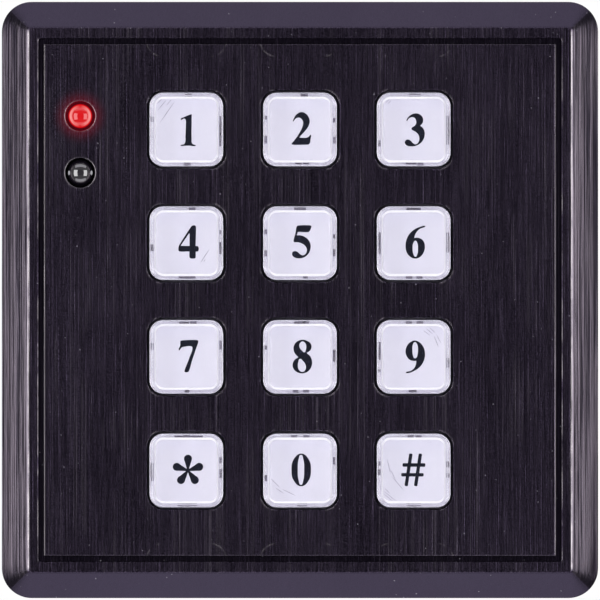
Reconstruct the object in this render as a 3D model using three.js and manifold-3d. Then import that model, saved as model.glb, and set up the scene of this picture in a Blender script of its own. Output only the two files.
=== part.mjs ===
// A wall-mounted keypad access reader: a brushed metal face plate with twelve clear-covered keys and two
// indicator LEDs, screwed to a rear housing that hangs on a wall plate. All sizes are in millimetres.
// The pieces are modelled lying on their back: x to the right, y up the panel and z out of the wall,
// with z = 0 on the wall. The group is then turned so that the panel stands, +Z up and facing -Y.

import * as THREE from "three";
import { mergeVertices } from "three/addons/utils/BufferGeometryUtils.js";
import Module from "manifold-3d";

const wasm = await Module();
wasm.setup();

// ---------------------------------------------------------------- driving dimensions

const SEAT = 0.05; // the gap left between two pieces that rest on each other
const CLEARANCE = 0.3; // the gap between a piece that moves and what it runs past

const grid = { pitch: 19, columns: 3, rows: 4 };
const margin = { sides: 24.85, ends: 15.35 }; // from the outer keys to the edges of the plate
const plate = { thickness: 4, cornerRadius: 5 };
const chamfer = { width: 4.45, depth: 2.2 };
const groove = { inset: 6.2, width: 0.9, depth: 0.7, lip: 0.15, innerLip: 0.3, cornerRadius: 0.5 };

const key = { size: 12.3, cornerRadius: 2.25, proud: 2, travel: 1.2 };
const cover = { height: 2.2, wall: 0.65, top: 1.05, fillet: 0.6 };
const tab = { thickness: 0.3, length: 1.8, endWidth: 0.8, sideWidth: 2.4 }; // ends: above and below
const tabSlot = { endWidth: 3, sideWidth: 4.6 };
const legend = { thickness: 0.25, frame: 0.3, coverGap: 0.1 }; // frame: the carrier's edge round the film
const keyHole = { gap: 0.55, lip: 0.15 };
const carrier = { coverGap: 0.12, wall: 1.35, roof: 0.9, footRadius: 2.75 };
const flange = { overlap: 0.9, thickness: 1 };

const membrane = { thickness: 1.15, margin: 0.2, cornerRadius: 2, skin: 0.7 };
const dome = { baseRadius: 5.5, topRadius: 3.6, height: 1.5 };

const led = { radius: 2.4, flangeRadius: 2.9, flangeHeight: 1, proud: 0.4 };
const ledHole = { gap: 0.1, lip: 0.1 };
const ledPlace = { aboveTopRow: 2.3, spacing: 9.5 };

const board = { margin: 7, thickness: 1.6, rearSpace: 8.1, notchGap: 0.8 };
const boardScrew = { shank: 1.2, head: 2.4, headHeight: 1.6, length: 5 };
const boardScrewPlace = { edgeInset: 4, belowLed: 3.4, fromBottom: 10 };
const standoff = { boardRadius: 3, cornerRadius: 3.5, spareThread: 0.6 };
const coil = { gap: 0.5, width: 1.5, height: 1.5 };

const housing = { setBack: 2, wall: 2.5, floor: 2, cornerRadius: 4, recessWall: 4, recessRadius: 3 };
const gasket = { thickness: 0.9, inset: 0.3 };
const post = { inset: 9.1, radius: 4 };
const housingScrew = { shank: 1.5, head: 2.9, headHeight: 1.8, length: 12.5 };
const housingScrewSeat = 2.3; // how far the heads sink into the housing's floor and posts

const wallPlate = { inset: 7, thickness: 1.5, cornerCut: 12, frontGap: 0.4 };
const cableOpening = { width: 34, height: 16, y: -16, cornerRadius: 2 };
const fixing = { spacing: 60.3, slotLength: 8, slotWidth: 4, sinkDepth: 1.1 };
const hook = { x: 22, fromTop: 14, width: 10, reach: 5, lift: 4.5, slotGap: 0.4 };
const tongue = { width: 16, depth: 10, screwDepth: 7.5, slotGap: 0.5 };
const securityScrew = { shank: 1.5, head: 2.7, headHeight: 1.6, length: 5.6 };
const screwHole = { threadGap: 0.1, shankGap: 0.2, headGap: 0.3, sink: 0.1 };

const terminals = { count: 8, pitch: 3.5, depth: 7.6, height: 6, belowOpening: 2 };
const terminalWell = { radius: 1.2, depth: 1.6 };
const chip = { size: 10, thickness: 1.45, x: -12, y: 18 };
const buzzer = { radius: 6, height: 6, holeRadius: 1, x: 24, y: 24 };
const capacitor = { radius: 3.15, height: 5.8, x: -24, fromBottom: 11 };
const photocell = { radius: 2.5, height: 2 };

const FINE = 8; // straight steps in a quarter turn of the plate's and the housing's corners
const MEDIUM = 3; // and of the keys and their holes
const COARSE = 2; // and of what the keys hide
const SCREW_SIDES = 12; // sides of a screw and of its hole
const OVERCUT = 1; // how far a cutting solid runs past the face that it opens

// ---------------------------------------------------------------- depths, from the wall outwards

const depth = {};
depth.floorBack = wallPlate.thickness + wallPlate.frontGap;
depth.floorFront = depth.floorBack + housing.floor;
depth.boardBack = depth.floorFront + board.rearSpace;
depth.boardFront = depth.boardBack + board.thickness;
depth.sheetBack = depth.boardFront + SEAT;
depth.sheetFront = depth.sheetBack + membrane.thickness;
depth.domeTop = depth.sheetFront + dome.height;
depth.footBack = depth.domeTop + SEAT;
depth.flangeBack = Math.max(depth.footBack, depth.sheetFront + key.travel) + CLEARANCE;
depth.flangeFront = depth.flangeBack + flange.thickness;
depth.plateBack = depth.flangeFront + CLEARANCE;
depth.plateFront = depth.plateBack + plate.thickness;
depth.coverFront = depth.plateFront + key.proud;
depth.coverBack = depth.coverFront - cover.height;
depth.legendFront = depth.coverFront - cover.top - legend.coverGap;
depth.legendBack = depth.legendFront - legend.thickness;
depth.ledFront = depth.plateFront + led.proud;
depth.housingFront = depth.plateBack - gasket.thickness - 2 * SEAT;
depth.postFront = depth.boardBack;
depth.screwSeat = depth.floorBack + housingScrewSeat;

// ---------------------------------------------------------------- sizes across the panel

plate.width = (grid.columns - 1) * grid.pitch + key.size + 2 * margin.sides;
plate.height = (grid.rows - 1) * grid.pitch + key.size + 2 * margin.ends;
const shell = { width: plate.width - 2 * housing.setBack, height: plate.height - 2 * housing.setBack };
const boardSize = { width: plate.width - 2 * board.margin, height: plate.height - 2 * board.margin };
const bracket = { width: plate.width - 2 * wallPlate.inset, height: plate.height - 2 * wallPlate.inset };
const sheet = {
  width: grid.columns * grid.pitch + 2 * membrane.margin,
  height: grid.rows * grid.pitch + 2 * membrane.margin,
};
const keyHoleSize = key.size + 2 * keyHole.gap;
const keyHoleRadius = key.cornerRadius + keyHole.gap;

const topRowY = ((grid.rows - 1) / 2) * grid.pitch;
const keyNames = ["1", "2", "3", "4", "5", "6", "7", "8", "9", "star", "0", "hash"];
const keys = keyNames.map((name, i) => ({
  name,
  x: ((i % grid.columns) - (grid.columns - 1) / 2) * grid.pitch,
  y: topRowY - Math.floor(i / grid.columns) * grid.pitch,
}));

// The LEDs stand halfway between the antenna coil and the groove.
const panelEdgeX = plate.width / 2 - groove.inset - groove.width;
const coilEdgeX = sheet.width / 2 + coil.gap + coil.width;
const ledX = -(panelEdgeX + coilEdgeX) / 2;
const upperLedY = topRowY + ledPlace.aboveTopRow;
const ledYs = [upperLedY, upperLedY - ledPlace.spacing];

// Each quarter of a rectangle, anticlockwise from the upper right.
const quarters = [
  [1, 1],
  [-1, 1],
  [-1, -1],
  [1, -1],
];
const postPlaces = quarters.map(([sx, sy]) => ({
  x: sx * (plate.width / 2 - post.inset),
  y: sy * (plate.height / 2 - post.inset),
}));
const boardScrewX = boardSize.width / 2 - boardScrewPlace.edgeInset;
const boardScrewYs = [
  ledYs[1] - led.flangeRadius - boardScrewPlace.belowLed - standoff.boardRadius,
  -boardSize.height / 2 + boardScrewPlace.fromBottom,
];
const boardScrewPlaces = boardScrewYs.flatMap((y) => [-boardScrewX, boardScrewX].map((x) => ({ x, y })));

// ---------------------------------------------------------------- outlines

/** A rectangle with round corners, centred on (x, y), anticlockwise. */
function roundedRectangle(width, height, radius, steps, { x = 0, y = 0 } = {}) {
  const r = Math.max(radius, SEAT);
  const points = [];
  quarters.forEach(([sx, sy], quarter) => {
    for (let i = 0; i <= steps; i++) {
      const angle = ((quarter + i / steps) * Math.PI) / 2;
      const across = sx * (width / 2 - r) + r * Math.cos(angle);
      const up = sy * (height / 2 - r) + r * Math.sin(angle);
      points.push(new THREE.Vector2(x + across, y + up));
    }
  });
  return points;
}

/** A square with round corners, centred on the key at (x, y). */
const keyOutline = (size, radius, steps, at) => roundedRectangle(size, size, radius, steps, at);

/** The plate's outline, moved in by inset. */
const plateOutline = (inset, radius) =>
  roundedRectangle(plate.width - 2 * inset, plate.height - 2 * inset, radius, FINE);

/** The rear housing's outline, moved in by inset. */
const shellOutline = (inset, radius) =>
  roundedRectangle(shell.width - 2 * inset, shell.height - 2 * inset, radius, FINE);

/** A rectangle whose corners are changed: corner gives the points of the upper right one, side first. */
function corneredRectangle(corner) {
  return quarters.flatMap(([sx, sy]) => {
    const points = corner.map(([x, y]) => new THREE.Vector2(sx * x, sy * y));
    return sx * sy > 0 ? points : points.reverse();
  });
}

/** A rectangle whose corners are cut off at 45 degrees. */
const cutRectangle = ({ width, height }, cut) =>
  corneredRectangle([
    [width / 2, height / 2 - cut],
    [width / 2 - cut, height / 2],
  ]);

/** A rectangle with a square notch out of each corner. */
const notchedRectangle = ({ width, height }, notch) =>
  corneredRectangle([
    [width / 2, height / 2 - notch],
    [width / 2 - notch, height / 2 - notch],
    [width / 2 - notch, height / 2],
  ]);

// ---------------------------------------------------------------- solids

/** A closed three.js geometry as a manifold-3d solid. */
function toSolid(geometry) {
  const loose = geometry.index ? geometry.toNonIndexed() : geometry;
  const bare = new THREE.BufferGeometry();
  bare.setAttribute("position", loose.getAttribute("position"));
  const merged = mergeVertices(bare, 1e-4);
  const mesh = new wasm.Mesh({
    numProp: 3,
    vertProperties: merged.attributes.position.array,
    triVerts: new Uint32Array(merged.index.array),
  });
  return new wasm.Manifold(mesh);
}

/** A manifold-3d solid as a three.js geometry. */
function toGeometry(solid) {
  const mesh = solid.getMesh();
  const geometry = new THREE.BufferGeometry();
  geometry.setAttribute("position", new THREE.BufferAttribute(mesh.vertProperties, 3));
  geometry.setIndex(new THREE.BufferAttribute(mesh.triVerts, 1));
  geometry.computeVertexNormals();
  return geometry;
}

/** A solid through rings of [outline, z], lowest first, whose outlines have the same number of points. */
function loft(...rings) {
  const count = rings[0][0].length;
  const last = (rings.length - 1) * count;
  const positions = rings.flatMap(([outline, z]) => outline.flatMap((p) => [p.x, p.y, z]));
  const index = [];
  for (const [a, b, c] of THREE.ShapeUtils.triangulateShape(rings[0][0], [])) {
    index.push(a, c, b, last + a, last + b, last + c);
  }
  for (let ring = 0; ring < last; ring += count) {
    for (let i = 0; i < count; i++) {
      const a = ring + i;
      const b = ring + ((i + 1) % count);
      index.push(a, b, b + count, a, b + count, a + count);
    }
  }
  const geometry = new THREE.BufferGeometry();
  geometry.setAttribute("position", new THREE.Float32BufferAttribute(positions, 3));
  geometry.setIndex(index);
  return toSolid(geometry);
}

/** A straight solid of one outline, from z0 to z1. */
function slab(outline, z0, z1) {
  const shape = new THREE.Shape(outline);
  const prism = new THREE.ExtrudeGeometry(shape, { depth: z1 - z0, bevelEnabled: false });
  return toSolid(prism.translate(0, 0, z0));
}

/** A box between two opposite corners. */
function box([x0, y0, z0], [x1, y1, z1]) {
  const geometry = new THREE.BoxGeometry(x1 - x0, y1 - y0, z1 - z0);
  return toSolid(geometry.translate((x0 + x1) / 2, (y0 + y1) / 2, (z0 + z1) / 2));
}

/** A round solid about the line x, y, from a profile of [radius, z] pairs, lowest first. */
function turned(profile, sides, { x, y } = { x: 0, y: 0 }) {
  const points = profile.map(([radius, z]) => new THREE.Vector2(radius, z));
  points.unshift(new THREE.Vector2(0, profile[0][1]));
  points.push(new THREE.Vector2(0, profile[profile.length - 1][1]));
  return toSolid(new THREE.LatheGeometry(points, sides).rotateX(Math.PI / 2).translate(x, y, 0));
}

/** A plain cylinder about the line x, y. */
const cylinder = (radius, z0, z1, sides, at) =>
  turned(
    [
      [radius, z0],
      [radius, z1],
    ],
    sides,
    at,
  );

const joined = (solids) => solids.reduce((sum, solid) => sum.add(solid));
const cutBy = (solid, cutters) => cutters.reduce((rest, cutter) => rest.subtract(cutter), solid);

// ---------------------------------------------------------------- materials

const finish = (color, roughness, metalness, more = {}) =>
  new THREE.MeshStandardMaterial({ color, roughness, metalness, flatShading: true, ...more });

const materials = {
  anodised: finish(0x2a2630, 0.38, 0.85),
  clear: finish(0xf4f4fb, 0.08, 0, { transparent: true, opacity: 0.35 }),
  white: finish(0xe6e3f0, 0.45, 0),
  film: finish(0xecebf6, 0.5, 0),
  silicone: finish(0x2b2b2e, 0.8, 0),
  fibreglass: finish(0x1d4a2c, 0.55, 0),
  redLens: finish(0xd01018, 0.15, 0, { transparent: true, opacity: 0.8, emissive: 0xd01018 }),
  darkLens: finish(0x17161a, 0.08, 0, { transparent: true, opacity: 0.7 }),
  copper: finish(0xb0602c, 0.35, 0.9),
  component: finish(0x161618, 0.6, 0),
  can: finish(0xb4b6ba, 0.35, 0.85),
  ceramic: finish(0xd9a441, 0.5, 0),
  terminalGreen: finish(0x2f7d45, 0.5, 0),
  housingBlack: finish(0x1a1a1c, 0.6, 0),
  zinc: finish(0xb9bcc0, 0.42, 0.9),
  seal: finish(0x1c1c1e, 0.9, 0),
  screwSteel: finish(0xc4c6c9, 0.3, 0.95),
  blackScrew: finish(0x222226, 0.4, 0.8),
};

const reader = new THREE.Group();

/** Adds one named piece to the reader. */
function piece(name, solid, material) {
  const mesh = new THREE.Mesh(toGeometry(solid), material);
  mesh.name = name;
  reader.add(mesh);
  return mesh;
}

// ---------------------------------------------------------------- face plate

/** A hole for a key, with its front edge broken by a small bevel. */
function keyHoleCutter(at) {
  const outline = keyOutline(keyHoleSize, keyHoleRadius, MEDIUM, at);
  const wider = keyOutline(keyHoleSize + 2 * keyHole.lip, keyHoleRadius + keyHole.lip, MEDIUM, at);
  return loft(
    [outline, depth.plateBack - OVERCUT],
    [outline, depth.plateFront - keyHole.lip],
    [wider, depth.plateFront],
    [wider, depth.plateFront + OVERCUT],
  );
}

/** A round hole for an LED, with its front edge broken in the same way. */
function ledHoleCutter(y) {
  const radius = led.radius + ledHole.gap;
  const profile = [
    [radius, depth.plateBack - OVERCUT],
    [radius, depth.plateFront - ledHole.lip],
    [radius + ledHole.lip, depth.plateFront],
    [radius + ledHole.lip, depth.plateFront + OVERCUT],
  ];
  return turned(profile, 20, { x: ledX, y });
}

/** The decorative groove that runs round the panel, with a bevel on both lips. */
function grooveCutter() {
  const bottom = depth.plateFront - groove.depth;
  const top = depth.plateFront + OVERCUT;
  const { inset, width, lip, innerLip, cornerRadius } = groove;
  const outer = loft(
    [plateOutline(inset, cornerRadius), bottom],
    [plateOutline(inset, cornerRadius), depth.plateFront - lip],
    [plateOutline(inset - lip, cornerRadius + lip), depth.plateFront],
    [plateOutline(inset - lip, cornerRadius + lip), top],
  );
  const islandOutline = (lipInset) => {
    const total = 2 * (inset + width + lipInset);
    return roundedRectangle(plate.width - total, plate.height - total, 0, 1);
  };
  const island = loft(
    [islandOutline(0), bottom - OVERCUT],
    [islandOutline(0), depth.plateFront - innerLip],
    [islandOutline(innerLip), depth.plateFront],
    [islandOutline(innerLip), top + OVERCUT],
  );
  return outer.subtract(island);
}

/** The face plate, with standoffs behind it for the board and for the housing's screws. */
function facePlate() {
  const blank = loft(
    [plateOutline(0, plate.cornerRadius), depth.plateBack],
    [plateOutline(0, plate.cornerRadius), depth.plateFront - chamfer.depth],
    [plateOutline(chamfer.width, plate.cornerRadius - chamfer.width), depth.plateFront],
  );
  const boardStandoffs = boardScrewPlaces.map((at) =>
    cylinder(standoff.boardRadius, depth.boardFront + SEAT, depth.plateBack + SEAT, 12, at),
  );
  const cornerStandoffs = postPlaces.map((at) =>
    cylinder(standoff.cornerRadius, depth.postFront + CLEARANCE, depth.plateBack + SEAT, 12, at),
  );
  const boardThreadEnd = depth.boardBack + boardScrew.length + standoff.spareThread;
  const boardThreadRadius = boardScrew.shank + screwHole.threadGap;
  const boardThreads = boardScrewPlaces.map((at) =>
    cylinder(boardThreadRadius, depth.boardFront - OVERCUT, boardThreadEnd, SCREW_SIDES, at),
  );
  const cornerThreadEnd = depth.screwSeat + housingScrew.length + standoff.spareThread;
  const cornerThreadRadius = housingScrew.shank + screwHole.threadGap;
  const cornerThreads = postPlaces.map((at) =>
    cylinder(cornerThreadRadius, depth.postFront - OVERCUT, cornerThreadEnd, SCREW_SIDES, at),
  );
  const cutters = [
    grooveCutter(),
    ...keys.map(keyHoleCutter),
    ...ledYs.map(ledHoleCutter),
    ...boardThreads,
    ...cornerThreads,
  ];
  return cutBy(joined([blank, ...boardStandoffs, ...cornerStandoffs]), cutters);
}

piece("face_plate", facePlate(), materials.anodised);

// ---------------------------------------------------------------- keys

const coverInner = key.size - 2 * cover.wall;
const pedestalSize = coverInner - 2 * carrier.coverGap;
const pedestalRadius = key.cornerRadius - cover.wall - carrier.coverGap;
const shoulder = depth.coverBack - SEAT; // the carrier's step, under the cover's rim

/** A small box on each of a key's four sides, between the distances from and to from its middle. */
function onFourSides({ endWidth, sideWidth }, from, to, z0, z1) {
  return joined([
    box([-endWidth / 2, from, z0], [endWidth / 2, to, z1]),
    box([-endWidth / 2, -to, z0], [endWidth / 2, -from, z1]),
    box([from, -sideWidth / 2, z0], [to, sideWidth / 2, z1]),
    box([-to, -sideWidth / 2, z0], [-from, sideWidth / 2, z1]),
  ]);
}

/** The clear cover: a cap with a rounded top edge, hollow below, with a snap tab on each side. */
function keyCover() {
  const rings = [[keyOutline(key.size, key.cornerRadius, MEDIUM), depth.coverBack]];
  for (let i = 0; i <= MEDIUM; i++) {
    const angle = ((i / MEDIUM) * Math.PI) / 2;
    const inset = cover.fillet * (1 - Math.cos(angle));
    const outline = keyOutline(key.size - 2 * inset, key.cornerRadius - inset, MEDIUM);
    rings.push([outline, depth.coverFront - cover.fillet * (1 - Math.sin(angle))]);
  }
  const hollow = slab(
    keyOutline(coverInner, key.cornerRadius - cover.wall, COARSE),
    depth.coverBack - OVERCUT,
    depth.coverFront - cover.top,
  );
  const tabStart = depth.coverBack - tab.length;
  const tabRoot = depth.coverBack + tab.thickness;
  const tabs = onFourSides(tab, coverInner / 2, coverInner / 2 + tab.thickness, tabStart, tabRoot);
  return loft(...rings).subtract(hollow).add(tabs);
}

/** The white carrier: a pedestal for the legend, a skirt, a flange behind the plate and a foot. */
function keyBase() {
  const flangeSize = keyHoleSize + 2 * flange.overlap;
  const flangeRadius = keyHoleRadius + flange.overlap;
  const outside = joined([
    slab(keyOutline(flangeSize, flangeRadius, COARSE), depth.flangeBack, depth.flangeFront),
    slab(keyOutline(key.size, key.cornerRadius, COARSE), depth.flangeBack, shoulder),
    slab(keyOutline(pedestalSize, pedestalRadius, 1), shoulder - SEAT, depth.legendBack - SEAT),
  ]);
  const hollow = slab(
    keyOutline(key.size - 2 * carrier.wall, key.cornerRadius / 2, 1),
    depth.flangeBack - OVERCUT,
    shoulder - carrier.roof,
  );
  const slotFrom = coverInner / 2 - SEAT;
  const slotTo = coverInner / 2 + tab.thickness + SEAT;
  const slots = onFourSides(tabSlot, slotFrom, slotTo, depth.flangeFront + SEAT, shoulder + SEAT / 2);
  const foot = cylinder(carrier.footRadius, depth.footBack, shoulder - carrier.roof + SEAT, 10);
  return outside.subtract(hollow).subtract(slots).add(foot);
}

/** The printed film that lies on the pedestal, under the cover. */
function legendFilm() {
  const outline = keyOutline(pedestalSize - 2 * legend.frame, pedestalRadius - legend.frame, 1);
  return slab(outline, depth.legendBack, depth.legendFront);
}

const keyPieces = [
  ["key_base", keyBase(), materials.white],
  ["legend", legendFilm(), materials.film],
  ["key_cover", keyCover(), materials.clear],
];
for (const at of keys) {
  for (const [name, solid, material] of keyPieces) {
    piece(`${name}_${at.name}`, solid, material).position.set(at.x, at.y, 0);
  }
}

// ---------------------------------------------------------------- rubber keypad

/** The silicone sheet: one sprung dome under each key, hollow from behind. */
function keypadMembrane() {
  const outline = roundedRectangle(sheet.width, sheet.height, membrane.cornerRadius, MEDIUM);
  const flat = slab(outline, depth.sheetBack, depth.sheetFront);
  const outside = [
    [dome.baseRadius, depth.sheetFront - SEAT],
    [dome.baseRadius, depth.sheetFront],
    [dome.topRadius, depth.domeTop],
  ];
  const inside = [
    [dome.baseRadius - membrane.skin, depth.sheetBack - OVERCUT],
    [dome.baseRadius - membrane.skin, depth.sheetFront - membrane.skin / 2],
    [dome.topRadius - membrane.skin, depth.domeTop - membrane.skin],
  ];
  const domes = keys.map((at) => turned(outside, 10, at));
  const hollows = keys.map((at) => turned(inside, 10, at));
  return cutBy(joined([flat, ...domes]), hollows);
}

piece("keypad_membrane", keypadMembrane(), materials.silicone);

// ---------------------------------------------------------------- indicator LEDs

/** A round LED that stands on the board and looks out through the plate. */
function ledLens(y) {
  const base = depth.boardFront + SEAT;
  const profile = [
    [led.flangeRadius, base],
    [led.flangeRadius, base + led.flangeHeight],
    [led.radius, base + led.flangeHeight],
  ];
  const domeSteps = 4;
  for (let i = 0; i < domeSteps; i++) {
    const angle = ((i / domeSteps) * Math.PI) / 2;
    profile.push([led.radius * Math.cos(angle), depth.ledFront - led.radius * (1 - Math.sin(angle))]);
  }
  profile.push([led.radius / 100, depth.ledFront]);
  return turned(profile, 16, { x: ledX, y });
}

piece("status_led_upper", ledLens(ledYs[0]), materials.redLens);
piece("status_led_lower", ledLens(ledYs[1]), materials.darkLens);

// ---------------------------------------------------------------- circuit board and what stands on it

function circuitBoard() {
  const notch = post.inset - board.margin + standoff.cornerRadius + board.notchGap;
  const radius = boardScrew.shank + screwHole.shankGap;
  const holes = boardScrewPlaces.map((at) =>
    cylinder(radius, depth.boardBack - OVERCUT, depth.boardFront + OVERCUT, SCREW_SIDES, at),
  );
  return cutBy(slab(notchedRectangle(boardSize, notch), depth.boardBack, depth.boardFront), holes);
}

/** The flat winding round the keypad that reads cards. */
function antennaCoil() {
  const ring = (grow, z0, z1) => {
    const width = sheet.width + 2 * grow;
    const height = sheet.height + 2 * grow;
    return slab(roundedRectangle(width, height, membrane.cornerRadius + grow, MEDIUM), z0, z1);
  };
  const back = depth.boardFront + SEAT;
  const front = back + coil.height;
  return ring(coil.gap + coil.width, back, front).subtract(ring(coil.gap, back - OVERCUT, front + OVERCUT));
}

/** A round component that hangs from the back of the board. */
const onBoardBack = ({ radius, height }, at) =>
  cylinder(radius, depth.boardBack - SEAT - height, depth.boardBack - SEAT, 20, at);

/** The sounder, with its sound hole facing the wall. */
function sounder() {
  const back = depth.boardBack - SEAT - buzzer.height;
  const hole = cylinder(buzzer.holeRadius, back - OVERCUT, back + OVERCUT, 10, buzzer);
  return onBoardBack(buzzer, buzzer).subtract(hole);
}

function controllerChip() {
  const front = depth.boardBack - SEAT;
  const draft = 0.2; // how far the mould's slope takes each side in
  const outline = (inset) => keyOutline(chip.size - 2 * inset, draft, 1, chip);
  return loft(
    [outline(draft), front - chip.thickness],
    [outline(0), front - chip.thickness / 2],
    [outline(draft), front],
  );
}

/** The screw terminals on the back of the board, with a well over each, behind the cable opening. */
function terminalBlock() {
  const halfWidth = (terminals.count * terminals.pitch) / 2;
  const halfDepth = terminals.depth / 2;
  const front = depth.boardBack - SEAT;
  const back = front - terminals.height;
  const y = cableOpening.y - terminals.belowOpening;
  const body = box([-halfWidth, y - halfDepth, back], [halfWidth, y + halfDepth, front]);
  const step = box(
    [-halfWidth - OVERCUT, y - halfDepth - OVERCUT, back - OVERCUT],
    [halfWidth + OVERCUT, y - halfDepth / 2, back + terminals.height / 3],
  );
  const wells = [];
  for (let i = 0; i < terminals.count; i++) {
    const x = (i - (terminals.count - 1) / 2) * terminals.pitch;
    const at = { x, y: y + halfDepth / 4 };
    wells.push(cylinder(terminalWell.radius, back - OVERCUT, back + terminalWell.depth, 8, at));
  }
  return cutBy(body, [step, ...wells]);
}

const photocellY = cableOpening.y + cableOpening.height / 2 - photocell.radius;
const capacitorY = -boardSize.height / 2 + capacitor.fromBottom;

piece("circuit_board", circuitBoard(), materials.fibreglass);
piece("antenna_coil", antennaCoil(), materials.copper);
piece("controller_chip", controllerChip(), materials.component);
piece("buzzer", sounder(), materials.component);
piece("capacitor", onBoardBack(capacitor, { x: capacitor.x, y: capacitorY }), materials.can);
piece("tamper_photocell", onBoardBack(photocell, { x: 0, y: photocellY }), materials.ceramic);
piece("terminal_block", terminalBlock(), materials.terminalGreen);

// ---------------------------------------------------------------- rear housing, seal and wall plate

const tongueBottom = -bracket.height / 2;
const tongueTop = tongueBottom + wallPlate.thickness;
const hookBottom = plate.height / 2 - hook.fromTop;
const hookXs = [-hook.x, hook.x];
const shellBottom = -shell.height / 2;

/** The window that the cable comes in through, from z0 to z1. */
function cableWindow(z0, z1) {
  const { width, height, cornerRadius, y } = cableOpening;
  return slab(roundedRectangle(width, height, cornerRadius, COARSE, { x: 0, y }), z0, z1);
}

/** An upright hole on the security screw's axis, from y0 up to y1. */
function uprightHole(radius, y0, y1) {
  const hole = new THREE.CylinderGeometry(radius, radius, y1 - y0, SCREW_SIDES);
  return toSolid(hole.translate(0, (y0 + y1) / 2, tongue.screwDepth));
}

/** The rear housing: a tray with a floor, a recess behind it for the wall plate, and four screw posts. */
function rearHousing() {
  const { wall, cornerRadius, recessWall, recessRadius } = housing;
  const front = depth.housingFront;
  const blank = slab(shellOutline(0, cornerRadius), 0, front);
  const cavity = slab(shellOutline(wall, cornerRadius - wall), depth.floorFront, front + OVERCUT);
  const recess = slab(shellOutline(recessWall, recessRadius), -OVERCUT, depth.floorBack);
  const posts = postPlaces.map((at) =>
    cylinder(post.radius, depth.floorFront - SEAT, depth.postFront, SCREW_SIDES, at),
  );
  return cutBy(joined([cutBy(blank, [cavity, recess]), ...posts]), [
    cableWindow(depth.floorBack - OVERCUT, depth.floorFront + OVERCUT),
    ...postHoles(),
    ...floorSlots(),
    ...securityHoles(),
  ]);
}

/** The stepped holes down the posts, for the housing's screws and their heads. */
function postHoles() {
  const headRadius = housingScrew.head + screwHole.headGap;
  const shankRadius = housingScrew.shank + screwHole.shankGap;
  const stepped = [
    [headRadius, depth.floorBack - OVERCUT],
    [headRadius, depth.screwSeat],
    [shankRadius, depth.screwSeat],
    [shankRadius, depth.postFront + OVERCUT],
  ];
  return postPlaces.map((at) => turned(stepped, SCREW_SIDES, at));
}

/** The slots in the housing's floor for the wall plate's two hooks and its tongue. */
function floorSlots() {
  const slot = (x, halfWidth, y0, y1) =>
    box([x - halfWidth, y0, depth.floorBack - OVERCUT], [x + halfWidth, y1, depth.floorFront + OVERCUT]);
  const hookHalf = hook.width / 2 + hook.slotGap;
  const hookTop = hookBottom + wallPlate.thickness + hook.slotGap;
  const tongueHalf = tongue.width / 2 + tongue.slotGap;
  return [
    ...hookXs.map((x) => slot(x, hookHalf, hookBottom - hook.reach, hookTop)),
    slot(0, tongueHalf, tongueBottom - tongue.slotGap, tongueTop + tongue.slotGap),
  ];
}

/** The hole in the housing's lower wall for the security screw, and the wider seat for its head. */
function securityHoles() {
  const inside = shellBottom + housing.wall + OVERCUT;
  const headSeat = shellBottom + securityScrew.headHeight + screwHole.sink;
  return [
    uprightHole(securityScrew.shank + screwHole.shankGap, shellBottom - OVERCUT, inside),
    uprightHole(securityScrew.head + screwHole.headGap, shellBottom - OVERCUT, headSeat),
  ];
}

/** The foam seal between the housing's front edge and the face plate. */
function sealRing() {
  const back = depth.housingFront + SEAT;
  const front = back + gasket.thickness;
  const innerInset = housing.wall - gasket.inset;
  const inner = shellOutline(innerInset, housing.cornerRadius - innerInset);
  const outer = shellOutline(gasket.inset, housing.cornerRadius - gasket.inset);
  return slab(outer, back, front).subtract(slab(inner, back - OVERCUT, front + OVERCUT));
}

/** A countersunk fixing slot at (x, y), as long as slotLength along its own axis. */
function fixingSlot(x, y) {
  const { slotLength, slotWidth, sinkDepth } = fixing;
  const upright = x === 0;
  const outline = (grow) => {
    const long = slotLength + 2 * grow;
    const short = slotWidth + 2 * grow;
    return roundedRectangle(upright ? short : long, upright ? long : short, short / 2, MEDIUM, { x, y });
  };
  return loft(
    [outline(0), -OVERCUT],
    [outline(0), wallPlate.thickness - sinkDepth],
    [outline(sinkDepth), wallPlate.thickness],
    [outline(sinkDepth), wallPlate.thickness + OVERCUT],
  );
}

/** The pressed steel plate on the wall, with two hooks at the top and a tongue for the security screw. */
function wallPlateSheet() {
  const { thickness, cornerCut, frontGap } = wallPlate;
  const flat = slab(cutRectangle(bracket, cornerCut), 0, thickness);
  const hookBack = depth.floorFront + frontGap;
  const hookFront = hookBack + thickness;
  const hookBox = (x, y0, y1, z0, z1) => box([x - hook.width / 2, y0, z0], [x + hook.width / 2, y1, z1]);
  const hooks = hookXs.flatMap((x) => [
    hookBox(x, hookBottom, hookBottom + thickness, 0, hookFront),
    hookBox(x, hookBottom, hookBottom + hook.lift, hookBack, hookFront),
  ]);
  const windows = hookXs.map((x) =>
    hookBox(x, hookBottom - hook.reach, hookBottom, -OVERCUT, thickness + OVERCUT),
  );
  const upstand = box([-tongue.width / 2, tongueBottom, 0], [tongue.width / 2, tongueTop, tongue.depth]);
  const reach = fixing.spacing / 2;
  return cutBy(joined([flat, ...hooks, upstand]), [
    ...windows,
    cableWindow(-OVERCUT, thickness + OVERCUT),
    fixingSlot(-reach, 0),
    fixingSlot(reach, 0),
    fixingSlot(0, reach),
    fixingSlot(0, -reach),
    uprightHole(securityScrew.shank + screwHole.threadGap, tongueBottom - OVERCUT, tongueTop + OVERCUT),
  ]);
}

piece("rear_housing", rearHousing(), materials.housingBlack);
piece("gasket", sealRing(), materials.seal);
piece("wall_plate", wallPlateSheet(), materials.zinc);

// ---------------------------------------------------------------- screws

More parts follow.
